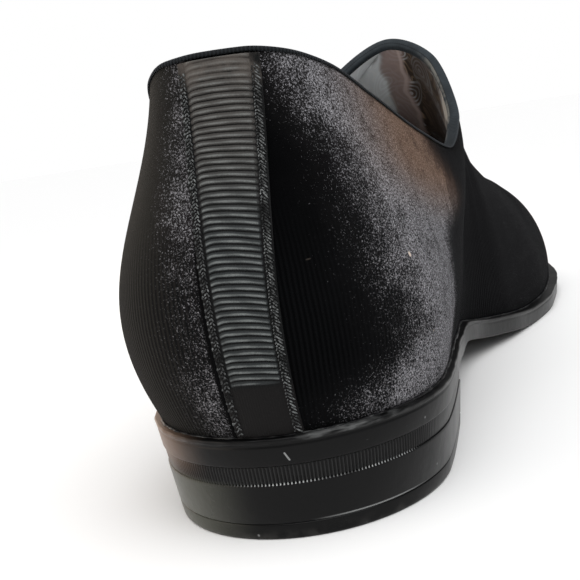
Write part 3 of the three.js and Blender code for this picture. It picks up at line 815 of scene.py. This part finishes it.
# Ribbon cloth: painted highlights on the crests over grey web, with painted shadow in the black gaps under
# them, worn brown at the top, plain at the foot.
# cloth.x is across in metres, cloth.y the rib's height from 0 to 1
def makeRibbonCloth():
    material, shader = startMaterial(
        "ribbon_cloth", Roughness=0.6, Sheen_Weight=0.05, Sheen_Roughness=0.35, Specular_IOR_Level=0.12,
    )
    place, cloth = coordinates(shader)
    across, crest = splitVector(cloth)[:2]
    height = splitVector(place)[2]
    twist = useGroup(ribs, Stripe=across, Vector=place, Pitch=0.0005, Waver=0.5)
    fine = noise(place, 1300.0, 2.0)
    # black gaps of painted shadow under the ribs, grey web above them
    colour = mixColour(ramp(crest, 0.02, 0.4), tape["ribbon"], tape["ribbonWeb"])
    # painted highlight on the ribs' crests
    pale = calculate("MULTIPLY", ramp(crest, 0.55, 1.0), scaled(fine, 0.7, 0.35), clamp=True)
    colour = mixColour(pale, colour, tape["ribbonCrestHighlight"])
    faded = times(ramp(height, 0.06, 0.088), ramp(crest, 0.0, 0.3), 0.35)
    rubbed = times(ramp(height, 0.0885, 0.0935), ramp(noise(place, 260.0, 3.0), 0.3, 0.65), 0.55)
    for share in (faded, rubbed):
        colour = mixColour(share, colour, tape["worn"])
    colour = mixColour(ramp(height, 0.0335, 0.0325), colour, tape["foot"])
    dress(shader, colour, scaled(twist, 0.35, fine), 0.00012)
    return material


def makeThread():
    material, shader = startMaterial("thread", Roughness=0.65, Sheen_Weight=0.05, Specular_IOR_Level=0.12)
    place = coordinates(shader)[0]
    fine = noise(place, 2200.0, 1.0)
    share = times(ramp(fine, 0.3, 0.7), ramp(noise(place, 330.0, 2.0), 0.25, 0.7))
    dress(shader, mixColour(share, tape["ribbon"], tape["thread"]), fine, 0.0001)
    return material


# Areas are products of soft ramps: the axis, then in metres where it is 0 and where it is 1
rubber = {
    "black": (0.0022, 0.0022, 0.0024),
    # brown and olive are painted reflections on the lateral back
    "brown": (0.32, 0.21, 0.15),
    "oliveReflection": (0.07, 0.072, 0.058),
    # pale grey for real scuffs and scratches, and for painted highlights
    "scuffAndHighlight": (0.42, 0.43, 0.43),
    "dust": (0.1, 0.095, 0.09),
    "scratch": ((0.0061, -0.037, 0.0188), (0.0068, -0.0366, 0.0173), 0.00024),
    "areas": {
        "brown": [("x", -0.01, -0.036), ("z", 0.01, 0.018), ("y", 0.017, 0.0)],
        "oliveReflection": [("x", -0.001, -0.022), ("z", 0.0135, 0.0115), ("y", 0.017, 0.0)],
        # painted highlights: dots at the rib ends, the rib crests and the top piece's edge; on the lip, wear
        # and a painted highlight
        "ribEndHighlights": [("z", 0.0119, 0.0121), ("z", 0.0126, 0.0122), ("x", -0.009, 0.004)],
        "ribs": [("x", -0.024, -0.008), ("z", 0.012, 0.0122)],
        "lip": [("z", 0.0207, 0.0213), ("y", 0.012, -0.014), ("x", 0.005, 0.014), ("x", 0.03, 0.024)],
        "lowEdgeHighlight": [("z", 0.0034, 0.0036), ("z", 0.004, 0.0038), ("x", 0.008, 0.017), ("x", 0.03, 0.024)],
        "floor": [("z", 0.003, 0.0)],
    },
}


# Moulded rubber: black, with painted reflections at the lateral back, warm brown above and grey olive below,
# painted highlights on the rib ends, the rib crests, the top piece's edge and the lip, which is also worn,
# and scuffs, dust and scratches.
# cloth.x is the rib's height from 0 to 1 on the heel's layers
def makeRubber(name, gloss, dustShare):
    material, shader = startMaterial(name, Specular_IOR_Level=0.14)
    place, cloth = coordinates(shader)
    at = dict(zip("xyz", splitVector(place)))
    area = {key: within(at, limits) for key, limits in rubber["areas"].items()}
    crest = splitVector(cloth)[0]
    cloudy = noise(place, 55.0, 4.0, 0.6)
    # painted reflections: grey olive low on the lateral back, warm brown above it
    colour = mixColour(area["oliveReflection"], rubber["black"], rubber["oliveReflection"])
    warmReflection = calculate("MULTIPLY", area["brown"], scaled(cloudy, 0.6, 0.5), clamp=True)
    colour = mixColour(warmReflection, colour, rubber["brown"])
    long = vectorMath("MULTIPLY", place, (0.25, 0.25, 1))
    scratches = ramp(noise(long, 1400.0, 2.0, 0.5, 0.6), 0.72, 0.8)
    scratches = times(scratches, ramp(noise(place, 140.0, 2.0), 0.5, 0.75))
    nicks = useGroup(specks, Vector=place, Scale=330.0, Radius=0.12, Share=dustShare)
    # painted highlights on the rib ends, rib crests, top piece's edge and lip, mixed with real scratches and
    # nicks
    highlightDots = times(area["ribEndHighlights"], ramp(crest, 0.55, 0.95), ramp(noise(place, 90.0, 2.0), 0.3, 0.6))
    marksAndHighlights = most(
        times(scratches, 0.25),
        times(nicks, 0.35),
        calculate("MULTIPLY", highlightDots, 1.3, clamp=True),
        times(area["ribs"], ramp(crest, 0.35, 1.0), 0.035),
        times(area["lip"], ramp(noise(long, 700.0, 3.0, 0.6), 0.4, 0.7), 0.2),
        times(area["lowEdgeHighlight"], 0.5),
        times(stroke(place, *rubber["scratch"]), 0.55),
    )
    colour = mixColour(marksAndHighlights, colour, rubber["scuffAndHighlight"])
    dust = times(area["floor"], ramp(noise(place, 300.0, 3.0), 0.4, 0.7), 0.2)
    colour = mixColour(dust, colour, rubber["dust"])
    rough = calculate("ADD", scaled(cloudy, 0.2, gloss - 0.1), times(marksAndHighlights, 0.35), clamp=True)
    feed(shader.inputs["Roughness"], rough)
    dress(shader, colour, scaled(marksAndHighlights, 1.5, noise(place, 380.0, 3.0)), 0.00012, 0.6)
    return material


glue = {
    "thin": (0.006, 0.006, 0.007),
    "thick": (0.06, 0.062, 0.062),
    "turns": 900,
    "sides": 7,
    "radius": 0.16,
    "width": 1.9,  # of the bead, in heights
    "inset": 0.1,
    "lift": 0.12,
}


# Glue along the feather line: a thin clear smear, whiter where it is thick
def makeGlue():
    material, shader = startMaterial("glue", Roughness=0.35, Specular_IOR_Level=0.25)
    thick = ramp(noise(coordinates(shader)[0], 420.0, 3.0), 0.45, 0.75)
    dress(shader, mixColour(thick, glue["thin"], glue["thick"]), thick, 0.0002)
    return material


velvetCloth, liningCloth, bindingCloth = makeVelvet(), makeLining(), makeBindingCloth()
ribbonCloth, threadLook, glueLook = makeRibbonCloth(), makeThread(), makeGlue()
soleRubber, heelRubber = makeRubber("sole_rubber", 0.34, 0.06), makeRubber("heel_rubber", 0.3, 0.07)
print("materials made")

upperGrid = {"collar": 150, "vamp": 70, "wall": 64, "footRoom": 0.02}

# Soft troughs and ridges in the velvet: centre x, y, z, half lengths in x, y, z, depth outwards
creases = [
    (10, 168, 62, 34, 3.2, 40, -0.55),  # the vamp's first flex line
    (8, 174, 60, 34, 4.0, 40, 0.3),
    (6, 181, 56, 30, 2.8, 40, -0.4),  # and its second
    (34, 62, 46, 20, 16, 7, -0.5),  # medial quarter, under the collar
    (34, 50, 30, 20, 18, 6, 0.4),
    (-34, 66, 44, 20, 16, 7, -0.5),  # lateral quarter
    (24, -14, 70, 12, 12, 10, -0.35),  # slack beside the counter
    (-24, -10, 66, 12, 12, 10, -0.35),
    (30, 6, 52, 14, 10, 14, 0.35),
    (34, 100, 34, 16, 14, 12, -0.5),
]
creaseFoot = (24, 12)  # height where creases start, and where they are full above that


# A crease's height: its depth times a bell in each direction, fading in above the foot
def creaseHeight(points):
    total = np.zeros(len(points))
    for crease in creases:
        offset = (points - crease[:3]) / crease[3:6]
        total += crease[6] * np.exp(-(offset**2).sum(-1))
    return total * fade(points[:, 2], *creaseFoot)


# The upper: its outer sheet with creases, its inner sheet one wall inside, and the rims between
def makeUpper():
    collarTurns = np.linspace(0, tip, upperGrid["collar"])
    angles = np.concatenate([collarTurns, np.linspace(tip, np.pi, upperGrid["vamp"] + 1)[1:]])
    turns = np.concatenate([-angles[:0:-1], angles])
    ups = np.linspace(0, 1, upperGrid["wall"])
    outer = upperSurface(turns[:, None], ups[None, :])
    shape = outer.shape[:2]
    around = lengthAlong(outer[:, shape[1] // 2])
    around = np.broadcast_to((around - around[shape[0] // 2])[:, None], shape)
    rise = lengthAlong(outer.swapaxes(0, 1)).T
    grid = gridFaces(*shape)[:, ::-1]
    points, faces = weld(outer.reshape(-1, 3), grid)
    normals = pointNormals(points, faces)
    foot = soleTop(points[:, 1] + last["heelRound"]) + last["gap"]
    level = normals.copy()
    level[points[:, 2] < foot + upperGrid["footRoom"], 2] = 0
    inner = points - unit(level) * collar["wall"]
    outside = points + normals * creaseHeight(points)[:, None]
    everyFace = shellFaces(faces, len(points))
    rims = len(everyFace) - 2 * len(faces)
    cloth = np.stack([around * mm, np.broadcast_to(ups[None, :], shape)], -1).reshape(-1, 2)
    printed = np.stack([around, rise], -1).reshape(-1, 2) * mm
    piece = makePiece(
        "velvet_upper", np.concatenate([outside, inner]), everyFace, [velvetCloth, liningCloth],
        uv=np.concatenate([cloth[grid], printed[grid[:, ::-1]], np.zeros((rims, 4, 2))]),
        slots=np.repeat([0, 1], [len(faces), len(faces) + rims]),
    )
    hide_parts("upper")


makeUpper()
print("upper made")

bindingLook = {
    "thickness": 0.38,
    "clearance": 0.1,
    "outside": (0.2, 1.3),  # leg lengths round the quarters, and on the tongue
    "inside": (2.8, 1.2),
    "archHeight": 0.7,
    "archFoot": -0.06,
    "tongueFrom": 0.72,  # share of the half ring where the tongue's legs begin
    "tongueOver": 0.16,
    "stations": 420,
    "round": 14,
    "rolled": (10, 11, 12, 13, 14, 15, 16),  # the section's points where the lining is rolled over
}


# The binding's section: a U over the wall's edge, its middle line thickened to both sides
def bindingSection(outside, inside):
    half = bindingLook["thickness"] / 2
    outer = bindingLook["clearance"] + half
    inner = -collar["wall"] - bindingLook["clearance"] - half
    bend = np.linspace(0, np.pi, bindingLook["round"])
    centre, reach = (outer + inner) / 2, (outer - inner) / 2
    height = bindingLook["archHeight"] * np.sin(bend) + bindingLook["archFoot"]
    arch = np.stack([centre + reach * np.cos(bend), height], -1)
    line = np.concatenate([[[outer, -outside]], arch, [[inner, -inside]]])
    run = unit(np.gradient(line, axis=0))
    side = np.stack([run[:, 1], -run[:, 0]], -1) * half
    ends = np.array([line[-1] - [0, half], line[0] - [0, half]])
    return np.concatenate([line + side, ends[:1], (line - side)[::-1], ends[1:]])


# The binding: that section carried round the collar, its legs in the wall's own plane
def makeBinding():
    count = bindingLook["stations"]
    turns = np.linspace(-tip, tip, count + 1)[:-1]
    edge = upperSurface(turns, 1.0)
    run = np.roll(edge, -1, 0) - np.roll(edge, 1, 0)
    out = unit(np.cross(run, arrival(turns)))
    smooth = np.array([1, 2, 3, 2, 1]) / 9
    out = unit(sum(np.roll(out, k - 2, 0) * share for k, share in enumerate(smooth)))
    away = unit(np.cross(out, run))
    shallow, deep = [bindingSection(*legs) for legs in zip(bindingLook["outside"], bindingLook["inside"])]
    share = eased(fade(np.abs(turns) / tip, bindingLook["tongueFrom"], bindingLook["tongueOver"]))
    section = shallow + (deep - shallow) * share[:, None, None]
    points = edge[:, None] + out[:, None] * section[..., :1] + away[:, None] * section[..., 1:]
    size = section.shape[1]
    rows = np.repeat(np.arange(count), size)
    rolled = np.tile(np.isin(np.arange(size), bindingLook["rolled"]), count)
    length = lengthAlong(np.concatenate([edge, edge[:1]])) * mm
    along = np.stack([length[rows], share[rows] + 2 * rolled], -1)
    faces = gridFaces(count, size, True, True)
    corners = along[faces]
    corners[-size:, 2:, 0] = length[-1]
    piece = makePiece(
        "collar_binding", points.reshape(-1, 3), faces[:, ::-1], [bindingCloth], uv=corners[:, ::-1],
    )
    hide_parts("topline_binding")


makeBinding()
print("binding made")

ribbon = {
    "thickness": 0.8,
    "topWidth": 16.4,
    "footWidth": 13.6,
    "offset": 3.5,
    "pitch": 1.25,
    "rib": 0.34,
    "border": 2.1,
    "ribEnd": 0.3,
    "ribRise": (0.08, 0.3),  # in shares of the pitch: where it starts and how long it lasts
    "ribFall": (0.45, 0.5),
    "ribGap": (0.94, 0.06),
    "fall": 0.72,
    "wavers": [  # size, turning by the way up and across, start
        (0.07, 1 / 5.1, 0, 0.8),
        (0.05, 1 / 2.3, 1 / 3.7, 0),
        (0.08, 1 / 9, 1 / 2.9, 0),
        (0.022, 1.7, 1.3, 0),
    ],
    "bends": (0.42, 0.12),  # at the ribs' lateral and medial ends
    "bendReach": 1.6,
    "bow": 0.012,
    "bowMiddle": 2,
    "fold": 0.14,  # depth of the line inside the border
    "foldWidth": 0.28,
    "edgeRound": 0.5,
    "edgeThickness": 0.35,
    "worn": 0.55,  # share of the ribs' height lost at the top
    "wornFrom": 88.5,
    "wornFade": 5,
    "smoothFoot": 33.5,  # below this height the ribs are covered
    "footFade": 0.8,
    "columns": 36,
    "rows": 780,
    "topGap": 0.75,
    "stitchTopGap": 3,
}
wallHeight = collar["backHeight"] - last["seatHeight"]
ribbonFoot = last["gap"] / wallHeight


# Half the ribbon's width, growing evenly with the share of the wall's height
def ribbonHalf(up):
    return ribbon["footWidth"] / 2 + (ribbon["topWidth"] - ribbon["footWidth"]) / 2 * up


# A point of the ribbon's face: across in millimetres, up the wall from 0 to 1, then its normal
def ribbonSurface(across, up):
    spread = np.linalg.norm(upperSurface(0.05, up) - upperSurface(0.0, up), axis=-1) / 0.05
    turn = across / spread
    side = upperSurface(turn + 0.01, up) - upperSurface(turn - 0.01, up)
    high, low = np.minimum(up + 0.002, 1), np.maximum(up - 0.002, 0)
    rise = upperSurface(turn, high) - upperSurface(turn, low)
    return upperSurface(turn, up), unit(np.cross(side, rise))


# Ribs: each rises steeply from a gap below it and falls off slowly upwards; they waver along the
# ribbon, bend down at their ends, soften at the top and stop at the plain foot
def ribbonHeight(across, half, rise, z):
    toBorder = half - np.abs(across - ribbon["offset"]) - ribbon["border"]
    waver = sum(size * np.sin(rise * up + across * over + turn) for size, up, over, turn in ribbon["wavers"])
    bend = fade(-toBorder, -ribbon["bendReach"], ribbon["bendReach"])
    bend *= np.where(across < ribbon["offset"], *ribbon["bends"])
    bow = ribbon["bow"] * (across - ribbon["bowMiddle"]) ** 2
    phase = (rise + waver + bend * bend * 2 + bow) / ribbon["pitch"] % 1
    fall = ribbon["fall"] * eased(fade(phase, *ribbon["ribFall"]))
    wave = eased(fade(phase, *ribbon["ribRise"])) * (1 - fall) * (1 - fade(phase, *ribbon["ribGap"]))
    wave *= fade(toBorder, 0, ribbon["ribEnd"]) * fade(z, ribbon["smoothFoot"], ribbon["footFade"])
    soft = 1 - ribbon["worn"] * fade(z, ribbon["wornFrom"], ribbon["wornFade"])
    fold = ribbon["fold"] * np.exp(-((toBorder / ribbon["foldWidth"]) ** 2))
    return wave * (0.9 + 0.1 * np.sin(rise * 0.9 + across)), ribbon["rib"] * wave * soft - fold


# The ribbon: its face is the wall's own surface moved out along its normal by the lift, which rounds
# off at the edges, and by the ribs; its back is one gap outside the wall
def makeRibbon():
    up = np.linspace(ribbonFoot, 1 - ribbon["topGap"] / wallHeight, ribbon["rows"])[:, None]
    half = ribbonHalf(up - ribbonFoot)
    across = ribbon["offset"] + np.linspace(-1, 1, ribbon["columns"])[None, :] * half
    point, normal = ribbonSurface(across, np.broadcast_to(up, across.shape))
    rise = lengthAlong(point[:, ribbon["columns"] // 2])[:, None]
    crest, height = ribbonHeight(across, half, rise, point[..., 2])
    edge = fade(half - np.abs(across - ribbon["offset"]), 0, ribbon["edgeRound"])
    lift = last["gap"] + (ribbon["thickness"] - ribbon["edgeThickness"]) * np.sqrt(1 - (1 - edge) ** 2)
    sheets = [point + normal * (lift + height)[..., None], point + normal * last["gap"]]
    faces = shellFaces(gridFaces(*across.shape), across.size)
    cloth = np.stack([across * mm, crest], -1).reshape(-1, 2)
    cloth = np.concatenate([cloth, cloth * [1, 0]])
    flat = np.stack(sheets).reshape(-1, 3)
    piece = makePiece("grosgrain_ribbon", flat, faces, [ribbonCloth], uv=cloth[faces])
    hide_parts("backstay_ribbon")


# Rows of grains of thread on the borders: side, way in from the edge, half length, half width,
# tilt in radians and pitch
strands = [
    (1, 0.95, 0.8, 0.17, 0.8, 0.66),
    (1, 1.72, 0.26, 0.15, -0.4, 0.63),
    (-1, 0.45, 0.34, 0.24, 0.3, 1.25),
    (-1, 1.0, 0.42, 0.15, 0.8, 0.71),
    (-1, 1.55, 0.4, 0.16, -0.5, 0.84),
]
threadGrain = {"rounds": 8, "rings": 6, "depth": 0.2, "lift": 0.5}


# Threads: rows of egg-shaped grains, each a closed net of rings about its own long axis
def makeStitches():
    bend = np.linspace(0, np.pi, threadGrain["rings"])[:, None]
    spin = np.linspace(0, 2 * np.pi, threadGrain["rounds"], endpoint=False)[None, :]
    grain = np.stack([np.sin(bend) * np.cos(spin), np.cos(bend) + 0 * spin, np.sin(bend) * np.sin(spin)], -1)
    grain = grain.reshape(-1, 3)
    faces = gridFaces(threadGrain["rings"], threadGrain["rounds"], False, True)
    bodies = []
    for side, inwards, halfLength, halfWidth, tilt, pitch in strands:
        number = np.arange(int((wallHeight - ribbon["stitchTopGap"]) / pitch))
        up = (number + 1.2) * pitch / wallHeight
        across = ribbon["offset"] + side * (ribbonHalf(up) - inwards + 0.08 * np.sin(number * 2.3))
        place, normal = ribbonSurface(across, up)
        above, _ = ribbonSurface(across, np.minimum(up + 0.01, 1))
        rise = unit(above - place)
        lean = tilt * side + 0.16 * np.sin(number * 1.7)
        long = rise * np.cos(lean)[:, None] - np.cross(rise, normal) * np.sin(lean)[:, None]
        swell = 1 + 0.2 * np.sin(number * 2.9 + side)
        wide = np.cross(long, normal) * halfWidth
        axes = [wide, long * halfLength * swell[:, None], normal * threadGrain["depth"]]
        centre = place + normal * (last["gap"] + threadGrain["lift"])
        bodies.append(centre[:, None] + np.einsum("gk,knc->ngc", grain, np.array(axes)))
    points = np.concatenate(bodies)
    quads = faces[None] + (np.arange(len(points)) * len(grain))[:, None, None]
    flat, faces = weld(points.reshape(-1, 3), quads.reshape(-1, 4))
    piece = makePiece("ribbon_stitches", flat, faces, [threadLook])


makeRibbon()
makeStitches()
print("ribbon made")

soleLook = {
    "taper": 2.8,
    "groove": 0.22,
    "edgeRound": 0.6,
    "uneven": 0.12,  # of the lip's edge
    "lipFrom": 0.85,
    "seatSteps": 110,
    "foreSteps": 130,
    "rand": 3.8,
    "topPiece": 3.4,
    "ribPitch": 0.75,
    "ribFade": (-26, 44, 14),  # where ribs start and end round the back, and over what length
    "plainRib": 0.08,
    "breastBow": 2.5,
    "sideSteps": 1300,
    "breastSteps": 60,
    "sharp": 40,  # degrees between faces that stay a sharp edge
}

# Edge of the outsole from the bottom up: share of the thickness, taper, groove and rounding
soleEdge = [
    (0.0, 1, 0, 0.6),
    (0.02, 0.98, 0, 0.3),
    (0.05, 0.95, 0, 0.1),
    (0.09, 0.91, 0, 0.0),
    (0.4, 0.6, 0, 0.0),
    (0.66, 0.34, 0, 0.0),
    (0.7, 0.3, 0.25, 0.0),
    (0.735, 0.26, 0.85, 0.0),
    (0.77, 0.23, 1, 0.0),
    (0.8, 0.2, 0.85, 0.0),
    (0.83, 0.17, 0.2, 0.0),
    (0.86, 0.14, -0.35, 0.0),
    (0.92, 0.08, -0.5, 0.0),
    (0.965, 0.03, -0.3, 0.05),
    (0.99, 0.01, 0, 0.2),
    (1.0, 0, 0, 0.45),
]


def placed(points):
    return points - [0, last["heelRound"], 0]


# The outsole: rings of the inset outline up its edge, its top and underside laid across in bands
def makeOutsole():
    seatAngle = angleAt(seatEnd)
    fore = np.linspace(seatAngle, np.pi, soleLook["foreSteps"])[1:]
    angles = np.concatenate([np.linspace(0, seatAngle, soleLook["seatSteps"]), fore])
    turns = np.concatenate([angles, -angles[-2:0:-1]])
    taper = soleLook["taper"] * last["soleThickness"] / last["seatHeight"]
    uneven = soleLook["uneven"] * np.sin(turns * 23 + 1) * np.sin(turns * 61)
    rings = []
    for up, slant, groove, rounding in soleEdge:
        inset = slant * taper + groove * soleLook["groove"] + rounding * soleLook["edgeRound"]
        inset = inset + uneven * (up > soleLook["lipFrom"])
        drop = (1 - up) * last["soleThickness"]
        rings.append(placed(insetPoint(turns, inset, lambda along: soleTop(along) - drop)))
    count = len(turns)
    walls = gridFaces(len(rings), count, False, True)
    i = np.arange(len(angles) - 1)
    band = np.stack([i, i + 1, (count - i - 1) % count, (count - i) % count], -1)
    top = band + (len(rings) - 1) * count
    # the bands run from the medial to the lateral side, so seen from above they turn to the left
    faces = np.concatenate([walls, band[:, ::-1], top])
    piece = makePiece("rubber_outsole", np.concatenate(rings), faces, [soleRubber], sharp=soleLook["sharp"])
    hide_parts("outsole")


heelAngle = angleAt(last["heelLength"])
heelTurns = np.linspace(-heelAngle, heelAngle, soleLook["sideSteps"])


# Ribs of the recessed band: a wave along the outline from 0 to -1, flatter towards the heel's front
def ribWave(turns):
    fine = np.linspace(0, heelAngle, 400)
    length = lengthAlong(insetPoint(fine, 0 * fine + 2, lambda along: 0 * along))
    along = np.interp(np.abs(turns), fine, length) * np.sign(turns)
    wave = 0.5 + 0.5 * np.sin(2 * np.pi * along / soleLook["ribPitch"])
    start, end, over = soleLook["ribFade"]
    deep = fade(along, start, over) * fade(-along, -end, over)
    return -wave * (soleLook["plainRib"] + (1 - soleLook["plainRib"]) * deep)


heelWave = ribWave(heelTurns)


# The heel's outline at a height: the sole's own, tapering in, closed by a hollowed front
def heelRing(height, recess, ribs=0.0):
    inset = soleLook["taper"] * (1 - height / last["seatHeight"]) + recess + ribs * heelWave
    side = placed(insetPoint(heelTurns, inset, lambda along: 0 * along + height))
    share = np.linspace(0, 1, soleLook["breastSteps"] + 2)[1:-1, None]
    breast = side[-1] + (side[0] - side[-1]) * share
    breast[:, 1] -= soleLook["breastBow"] * 4 * share[:, 0] * (1 - share[:, 0])
    return np.concatenate([side, breast])


# A layer of the heel from its rings, closed above and below by fans from a point in the middle
def makeHeelLayer(name, node, rows, material):
    rings = np.array([heelRing(*row) for row in rows])
    count = rings.shape[1]
    middle = rings.mean(1)
    flat = np.concatenate([rings.reshape(-1, 3), middle[:1], middle[-1:]])
    i = np.arange(count)
    low, top = len(rings) * count, (len(rings) - 1) * count
    under = np.stack([(i + 1) % count, i, 0 * i + low, 0 * i + low], -1)
    over = np.stack([i + top, (i + 1) % count + top, 0 * i + low + 1, 0 * i + low + 1], -1)
    faces = np.concatenate([gridFaces(len(rings), count, False, True), under, over])
    crest = np.concatenate([-heelWave, np.zeros(soleLook["breastSteps"])])
    crest = np.concatenate([np.tile(crest, len(rings)), [0, 0]])
    corners = np.stack([crest, 0 * crest], -1)[faces]
    piece = makePiece(name, flat, faces, [material], uv=corners, sharp=soleLook["sharp"])
    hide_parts(node)


randFoot = seatUnderside - soleLook["rand"]

pieceTop = soleLook["topPiece"]

# Rings of the heel's layers: height, way in from the taper, depth of the ribs
heelLayers = {
    "rand": [
        (randFoot, 0.4, 0.26),
        (randFoot + 0.4, 0.3, 0.26),
        (seatUnderside - 0.5, 0.3, 0.26),
        (seatUnderside, 0.35, 0.078),
    ],
    "block": [
        (pieceTop, 0.3),
        (pieceTop + 0.12, 0.12),
        (pieceTop + 0.35, 0),
        (randFoot - 0.7, 0),
        (randFoot - 0.38, 0.02, 0.02),
        (randFoot - 0.12, 0.14, 0.08),
        (randFoot, 0.36, 0.2),
    ],
    "topPiece": [
        (0, 0.5),
        (0.12, 0.2),
        (0.4, 0.02),
        (0.8, 0),
        (pieceTop - 0.3, 0),
        (pieceTop - 0.12, 0.08),
        (pieceTop, 0.22),
    ],
}


makeOutsole()
makeHeelLayer("ribbed_rand", "heel_rand", heelLayers["rand"], soleRubber)
makeHeelLayer("rubber_heel", "heel_block", heelLayers["block"], heelRubber)
makeHeelLayer("rubber_top_piece", "heel_top_piece", heelLayers["topPiece"], heelRubber)
print("sole made")


# Glue: an uneven bead in the corner between the upper's foot and the sole's top
def makeGlueBead():
    turns = np.linspace(-np.pi, np.pi, glue["turns"], endpoint=False)
    swell = glue["radius"] + 0.1 * np.sin(turns * 37 + 1) * np.sin(turns * 91)
    swell += 0.12 * np.clip(np.sin(turns * 13 + 0.6), 0, 1) ** 3
    inset = marginAt(distanceAt(np.abs(turns))) - glue["inset"]
    centre = placed(insetPoint(turns, inset, lambda along: soleTop(along) + glue["lift"]))
    normal = np.concatenate([planNormal(turns), np.zeros((len(turns), 1))], -1)
    bend = np.linspace(0, 2 * np.pi, glue["sides"], endpoint=False)[None, :, None]
    around = normal[:, None] * np.cos(bend) * glue["width"] + np.array([0, 0, 1.0]) * np.sin(bend)
    points = centre[:, None] + around * swell[:, None, None]
    faces = gridFaces(len(turns), glue["sides"], True, True)[:, ::-1]
    piece = makePiece("feather_glue", points.reshape(-1, 3), faces, [glueLook])


makeGlueBead()

sock = {"colour": (0.02, 0.018, 0.017), "worn": (0.05, 0.044, 0.038)}


# The insole's cover: smooth dark cloth, paler where the foot has rubbed it
def makeSock():
    material, shader = startMaterial("insole_cover", Roughness=0.6, Sheen_Weight=0.2)
    place = coordinates(shader)[0]
    rubbed = ramp(noise(place, 24.0, 3.0), 0.35, 0.7)
    weave = noise(place, 1800.0, 1.0)
    colour = mixColour(times(rubbed, scaled(weave, 0.6, 0.4)), sock["colour"], sock["worn"])
    dress(shader, colour, weave, 0.0002)
    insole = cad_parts["insole"]
    insole.data.materials.clear()
    insole.data.materials.append(material)


makeSock()

studio = {
    "floor": (0.9, 0.9, 0.9),
    "floorReach": 6.0,
    "light": 0.28,  # of the world on the shoe; the world itself shows white
    "sun": 3.1,
    "sunAngle": 75.0,
    "sunFrom": (0.25, -0.35, 1.0),
    "softboxes": [  # name, place, aim, side, power and colour
        ("left", (-0.55, -0.35, 0.12), (-0.02, -0.02, 0.03), 0.5, 1.6, (1, 0.9, 0.8)),
        ("farLeft", (-0.5, 0.35, 0.12), (0, 0, 0.03), 0.4, 0.8, (1, 0.82, 0.68)),
        ("right", (0.7, -0.3, 0.35), (0, 0, 0.05), 0.35, 0.35, (0.9, 0.96, 1)),
    ],
}


def makeFloor():
    mesh = bpy.data.meshes.new("floor")
    reach = studio["floorReach"]
    corners = [(-reach, -reach, 0), (reach, -reach, 0), (reach, reach, 0), (-reach, reach, 0)]
    mesh.from_pydata(corners, [], [(0, 1, 2, 3)])
    material, _ = startMaterial("floor_paper", Base_Color=studio["floor"], Roughness=0.7)
    mesh.materials.append(material)
    floor = addObject("floor", mesh)


# A light whose back points along the given direction, its right side square to the other
def addLight(name, kind, place, back, beside, power):
    data = bpy.data.lights.new(name, kind)
    data.energy = power
    light = addObject(name, data)
    back = unit(np.array(back))
    right = unit(np.cross(beside, back))
    turned = Matrix([right, np.cross(back, right), back]).transposed().to_4x4()
    light.matrix_world = Matrix.Translation(place) @ turned
    return data


def makeStudio():
    world = bpy.data.worlds.new("studio")
    world.use_nodes = True
    tree = world.node_tree
    white = (1, 1, 1)
    seen, soft = tree.nodes["Background"], addNode(tree, "Background", Strength=studio["light"])
    for background in (seen, soft):
        feed(background.inputs["Color"], white)
    mixed = addNode(tree, "MixShader")
    feed(mixed.inputs[0], addNode(tree, "LightPath").outputs["Is Camera Ray"])
    feed(mixed.inputs[1], soft.outputs[0])
    feed(mixed.inputs[2], seen.outputs[0])
    feed(tree.nodes["World Output"].inputs["Surface"], mixed.outputs[0])
    bpy.context.scene.world = world
    sun = addLight("overhead", "SUN", (0, 0, 0), studio["sunFrom"], (0, 1.0, 0), studio["sun"])
    sun.angle = studio["sunAngle"] * degrees
    for name, place, aim, side, power, colour in studio["softboxes"]:
        box = addLight(name, "AREA", place, np.subtract(place, aim), (0, 0, 1.0), power)
        box.shape, box.size, box.color = "SQUARE", side, colour
    bpy.context.scene.view_settings.view_transform = "Standard"


makeFloor()
makeStudio()
print("studio made")
